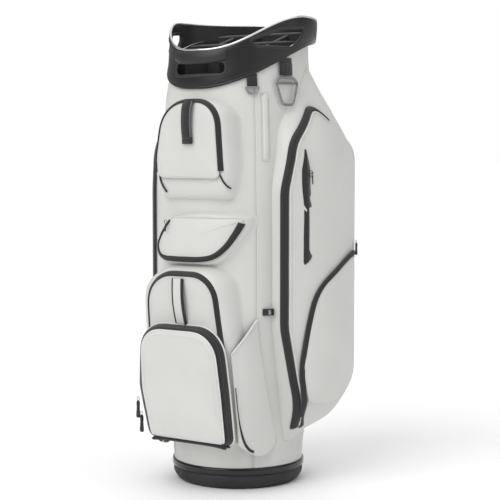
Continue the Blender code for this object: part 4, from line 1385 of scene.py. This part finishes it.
def make_quick_pockets():
    """Flank panels, each with a slim zipped pocket and a twice piped back seam."""
    for side, name in ((1, "right"), (-1, "left")):
        def place(u, v, w):
            return quick_point(side, u / 0.09, v, w)

        bm = bmesh.new()
        rows = []
        for k in range(37):
            share = k / 36
            low, high = quick_low(share), 0.270 + 0.061 * share
            row = []
            for i in range(61):
                t = i / 60
                z = mix(low, high, t)
                near = min(share * 0.09, (1 - share) * 0.09, (z - low), (high - z))
                w = -0.0016 + 0.0016 * smooth(near / 0.003)
                w += smooth(near / 0.02) * rumple((share * 0.09, z, 21.0 + side), 0.035, 0.0012)
                row.append(place(share * 0.09, z, w))
            row = [place(share * 0.09, low + 0.0004, -0.0070)] + row
            row.append(place(share * 0.09, high - 0.0004, -0.0050))
            rows.append(row)
        rows.insert(0, [quick_point(side, 0.03, p.z, -0.0060) for p in rows[0]])
        rows.append([quick_point(side, 0.985, p.z, -0.0050) for p in rows[-1]])
        loft(bm, rows, wrap=False)
        put(f"{name}_quick_panel", bm, [LEATHER], "bag", [f"{name}_quick_pocket"])

        # the dark zip runs down beside the lower pockets and turns under
        course = spline([(0.0030, 0.206), (0.0034, 0.176), (0.0046, 0.146), (0.0074, 0.120),
                         (0.0126, 0.099), (0.0205, 0.0855), (0.0300, 0.0795)], 0.003)
        bm = bmesh.new()
        ribbon(bm, place, course, zip_section(0.0090, 0.0004),
               width=lambda t: mix(0.14, 0.62, smooth((t - 0.30) / 0.60)))
        put(f"{name}_quick_zip", bm, [TAPE], "bag")

        bm = bmesh.new()
        zs = [0.094 + 0.2365 * k / 60 for k in range(61)]
        for shift, radius in ((0.0012, 0.0012), (0.0048, 0.0009)):
            path = []
            for z in zs:
                back = quick_point(side, 1.0, z, 0.0)
                along = (back - quick_point(side, 0.9, z, 0.0)).normalized()
                path.append(back + around(radians(60 * side), -0.0006, 0)
                            + along * (shift - 0.004))
            tube(bm, path, radius, sides=7, taper=True)
        top = [place(u * 0.09 / 30, 0.270 + 0.061 * u / 30, 0.0004) for u in range(31)]
        tube(bm, top, 0.0010, sides=6, taper=True)
        put(f"{name}_quick_piping", bm, [PIPING], "bag")
        bm = bmesh.new()
        seam(bm, place, [(0.0055 + 0.080 * k / 40, 0.2665 + 0.0545 * k / 40) for k in range(41)],
             0.0002)
        seam(bm, place, [(0.0835, z) for z in zs[4:-2]], 0.0002)
        put(f"{name}_quick_stitching", bm, [THREAD], "bag")


def make_tab(node, angle, rise, steps, halves, skins, start):
    """A doubled webbing tab hanging down the shell; gives its mesh, frame and box."""
    across, out = Vector((cos(angle), sin(angle), 0)), around(angle, 1, 0)
    lo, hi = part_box(node)
    zs = [mix(hi.z + rise[0], lo.z + rise[1], k / steps) for k in range(steps + 1)]
    bm = bmesh.new()
    for lift, half, thick, first in ((0.0036, halves[0], skins[0], 0),
                                     (0.0056, halves[1], skins[1], start)):
        strap(bm, [on_shell(angle, z, lift) for z in zs[first:]], across, out, half, thick)
    return bm, across, out, (lo.z + hi.z) / 2


def make_accessory_loop():
    """Webbing tab with a D ring below the cuff."""
    a, ring_z, half = radians(45.9), 0.7622, 0.0118
    bm, across, out, middle = make_tab("accessory_tab", a, (0.006, -0.0006), 8,
                                       (0.0100, 0.0094), (0.0026, 0.0016), 2)
    for shift in (-0.004, 0.0):
        path = [on_shell(a, middle + shift, 0.0066) + across * (0.0016 * k - 0.0072)
                for k in range(10)]
        stitches(bm, path, [out] * 10)
    put("accessory_loop", bm, [WEBBING], "bag", ["accessory_tab"])
    bm = bmesh.new()
    centre = around(a, shell_radius(a, ring_z) + 0.0052, ring_z)
    path = [centre + across * (-half + 2 * half * k / 8) for k in range(9)]
    path += [centre + across * (half * cos(pi * k / 18))
             - Vector((0, 0, 0.0124 * sin(pi * k / 18))) for k in range(1, 18)]
    tube(bm, path, 0.0018, closed=True, sides=12)
    put("accessory_d_ring", bm, [METAL], "accessory_link", ["accessory_ring"])


def make_towel_loop():
    """Wide webbing tab that carries the towel ring."""
    a = radians(76)
    bm, across, out, _ = make_tab("towel_tab", a, (0.012, 0.0002), 10,
                                  (0.0158, 0.0150), (0.0026, 0.0014), 3)
    put("towel_loop", bm, [WEBBING], "bag", ["towel_tab"])
    make_towel_ring(a, across, out)


def make_pen_sleeve():
    """Slim leather sleeve with a rounded top, bound edges and one stitched row."""
    bm = bmesh.new()
    lo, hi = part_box("pen_sleeve")
    a = radians(56.1)
    rows = []
    for k in range(41):
        t = k / 40
        z = mix(lo.z, hi.z, t)
        top = 0.42 * smooth((t - 0.95) / 0.05)
        row = []
        for i in range(11):
            share = max(i / 10, top * 0.9)
            lift = 0.0011 + 0.0040 * (1 - (2 * i / 10 - 1) ** 4) * (1 - (2 * t - 1) ** 8)
            row.append(on_shell(a + radians(5.2) * (share - 0.5), z, lift))
        rows.append(row)
    loft(bm, rows, wrap=False)
    for edge in (-2.9, 2.9):
        path = [on_shell(a + radians(edge), mix(lo.z, hi.z, k / 30), 0.0012) for k in range(31)]
        tube(bm, path, 0.0008, sides=6, taper=True)
    path = [on_shell(a + radians(0.6), lo.z + 0.004 + 0.002 * k, 0.0053) for k in range(9)]
    stitches(bm, path, [around(radians(76), 1, 0)] * 9, mat=1)
    put("pen_sleeve_leather", bm, [LEATHER, THREAD], "bag", ["pen_sleeve"])


def make_strap_guard():
    """Moulded guard with a small metal plate let into it."""
    bm = bmesh.new()
    lo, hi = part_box("strap_guard")
    a = radians(56.6)
    z = (lo.z + hi.z) / 2
    across, out = Vector((cos(a), sin(a), 0)), around(a, 1, 0)
    strap(bm, [on_shell(a, z, 0.0042) + Vector((0, 0, 0.0062 - 0.0124 * k / 6))
               for k in range(7)], across, out, 0.0115, 0.0036)
    strap(bm, [on_shell(a, z, 0.0060) + Vector((0, 0, 0.0044 - 0.0088 * k / 4)) + across * 0.002
               for k in range(5)], across, out, 0.0034, 0.0024, mat=1)
    put("strap_guard_moulding", bm, [CUFF, METAL], "bag", ["strap_guard"])


def make_towel_ring(a, across, out):
    """Cast towel ring: a shield-shaped frame with doubled edges and a webbing slot on top."""
    lean = Vector((0, 0, -1)) * cos(radians(4)) + out * sin(radians(4))
    face = out * cos(radians(4)) + Vector((0, 0, 1)) * sin(radians(4))
    centre = around(a, shell_radius(a, 0.7795) + 0.0056, 0.7795)
    bm = bmesh.new()

    def edge(points, grow, radius, w=0.0):
        path = even([(u, v) for u, v in offset(even(points, 0.0016), grow)], 0.0016)
        tube(bm, [centre + across * u - lean * v + face * w for u, v in path], radius,
             closed=True, sides=10)

    outline = rounded([(-0.0168, 0.0020, 0.0024), (-0.0266, -0.0070, 0.0024),
                       (-0.0266, -0.0106, 0.003), (-0.0130, -0.0498, 0.0034),
                       (0.0130, -0.0498, 0.0034), (0.0266, -0.0106, 0.003),
                       (0.0266, -0.0070, 0.0024), (0.0168, 0.0020, 0.0024)][::-1], 6)
    edge(outline, 0.0008, 0.0015)
    edge(outline, -0.0014, 0.0014, -0.0003)
    for v, radius in ((-0.0080, 0.0014), (-0.0104, 0.0014)):
        bar = [centre + across * (-0.0255 + 0.051 * k / 12) - lean * v for k in range(13)]
        tube(bm, bar, radius, sides=10)
    put("towel_ring_casting", bm, [METAL], "towel_link", ["towel_ring"])


def make_valuables_pull():
    """Small ring and cord at the flap zip's upper end."""
    lo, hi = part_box("valuables_pull")
    centre = (lo + hi) / 2
    bm = bmesh.new()
    path = [Vector((centre.x + 0.0030 * sin(2 * pi * k / 14), centre.y,
                    hi.z - 0.0040 + 0.0036 * cos(2 * pi * k / 14))) for k in range(14)]
    tube(bm, path, 0.0008, closed=True, sides=7)
    path = [Vector((centre.x - 0.0006 * k / 4, centre.y + 0.0006, hi.z - 0.008 - 0.0016 * k))
            for k in range(10)]
    tube(bm, path, 0.0013, sides=7, mat=1)
    put("valuables_pull_metal", bm, [METAL, WEBBING], "valuables_slider", ["valuables_pull"])


def make_spine_handle():
    """Padded webbing lift handle down the spine, stitched along both edges, with a leather patch
    under each end.
    """
    bm = bmesh.new()
    centre, half = [], []
    for k in range(41):
        t = k / 40
        z = 0.4335 + 0.203 * t
        reach = shell_radius(pi, z) + 0.0034 + 0.0290 * max(0.0, sin(pi * t)) ** 0.8
        centre.append(Vector((0, reach, z)))
        half.append(0.0130 + 0.0025 * sin(pi * t) ** 2)
    strap(bm, centre, Vector((1, 0, 0)), Vector((0, 1, 0)), half, 0.0034)
    for side in (-1, 1):
        path = [p + Vector((side * (h - 0.003), 0.0019, 0)) for p, h in zip(centre, half)]
        stitches(bm, path, [Vector((0, 1, 0))] * 41, mat=1)
    put("spine_handle_webbing", bm, [WEBBING, THREAD], "bag", ["spine_handle"])
    bm = bmesh.new()
    for z in (0.427, 0.646):
        strap(bm, [Vector((0, shell_radius(pi, z + 0.011 * k / 2) + 0.0016, z + 0.011 * k / 2))
                   for k in (-2, -1, 0, 1, 2)], Vector((1, 0, 0)), Vector((0, 1, 0)), 0.020, 0.0022)
    put("spine_patches", bm, [LEATHER], "bag")


# ---------------------------------------------------------------- stage
SUNS = (("key", -8, 38, 1.45, 50), ("side", 88, 24, 0.34, 60), ("top", 20, 86, 1.35, 80),
        ("rear", 205, 35, 0.5, 60))


def make_stage():
    """Pale floor, white surroundings, four soft suns and the camera."""
    bm = bmesh.new()
    bmesh.ops.create_grid(bm, x_segments=2, y_segments=2, size=40.0)
    mesh = bpy.data.meshes.new("floor")
    bm.to_mesh(mesh)
    bm.free()
    floor = bpy.data.objects.new("floor", mesh)
    bpy.context.scene.collection.objects.link(floor)
    material, _, _ = node_material("pale_floor", (0.94, 0.94, 0.94), 0.9)
    mesh.materials.append(material)

    world = bpy.data.worlds.new("studio")
    world.use_nodes = True
    tree = world.node_tree
    backdrop = tree.nodes["Background"]
    backdrop.inputs[0].default_value = (1, 1, 1, 1)
    strength = add(tree, "ShaderNodeMapRange")
    seen = tree.nodes.new("ShaderNodeLightPath")
    link(tree, seen.outputs["Is Camera Ray"], strength.inputs["Value"])
    strength.inputs["To Min"].default_value = 0.30
    strength.inputs["To Max"].default_value = 1.0
    link(tree, strength.outputs[0], backdrop.inputs[1])
    bpy.context.scene.world = world
    for name, azimuth, height, power, spread in SUNS:
        light = bpy.data.lights.new(name, "SUN")
        light.energy = power
        light.angle = radians(spread)
        obj = bpy.data.objects.new(name, light)
        a, h = radians(azimuth), radians(height)
        toward = Vector((-sin(a) * cos(h), cos(a) * cos(h), -sin(h)))
        obj.rotation_euler = toward.to_track_quat("-Z", "Y").to_euler()
        bpy.context.scene.collection.objects.link(obj)

    camera_data = bpy.data.cameras.new("camera")
    camera = bpy.data.objects.new("camera", camera_data)
    bpy.context.scene.collection.objects.link(camera)
    bpy.context.scene.camera = camera
    camera_data.lens = 103.95
    camera_data.sensor_width = 36.0
    camera_data.clip_end = 60
    azimuth, distance, height = radians(35), 2.83, 0.657
    pitch, yaw = radians(-4.2), atan(12.0 / 1440)
    camera.location = (distance * sin(azimuth), -distance * cos(azimuth), height)
    camera.rotation_euler = (pi / 2 + pitch, 0, azimuth - yaw)
    bpy.context.scene.view_settings.view_transform = "Standard"


# ---------------------------------------------------------------- build
make_stage()
make_base()
make_shell()
make_cuff()
make_front_grip()
make_inside()
make_finder()
make_valuables()
make_ball_pocket()
make_front_pocket()
make_side(1, "right")
make_side(-1, "left")
make_quick_pockets()
make_accessory_loop()
make_towel_loop()
make_pen_sleeve()
make_strap_guard()
make_valuables_pull()
make_spine_handle()
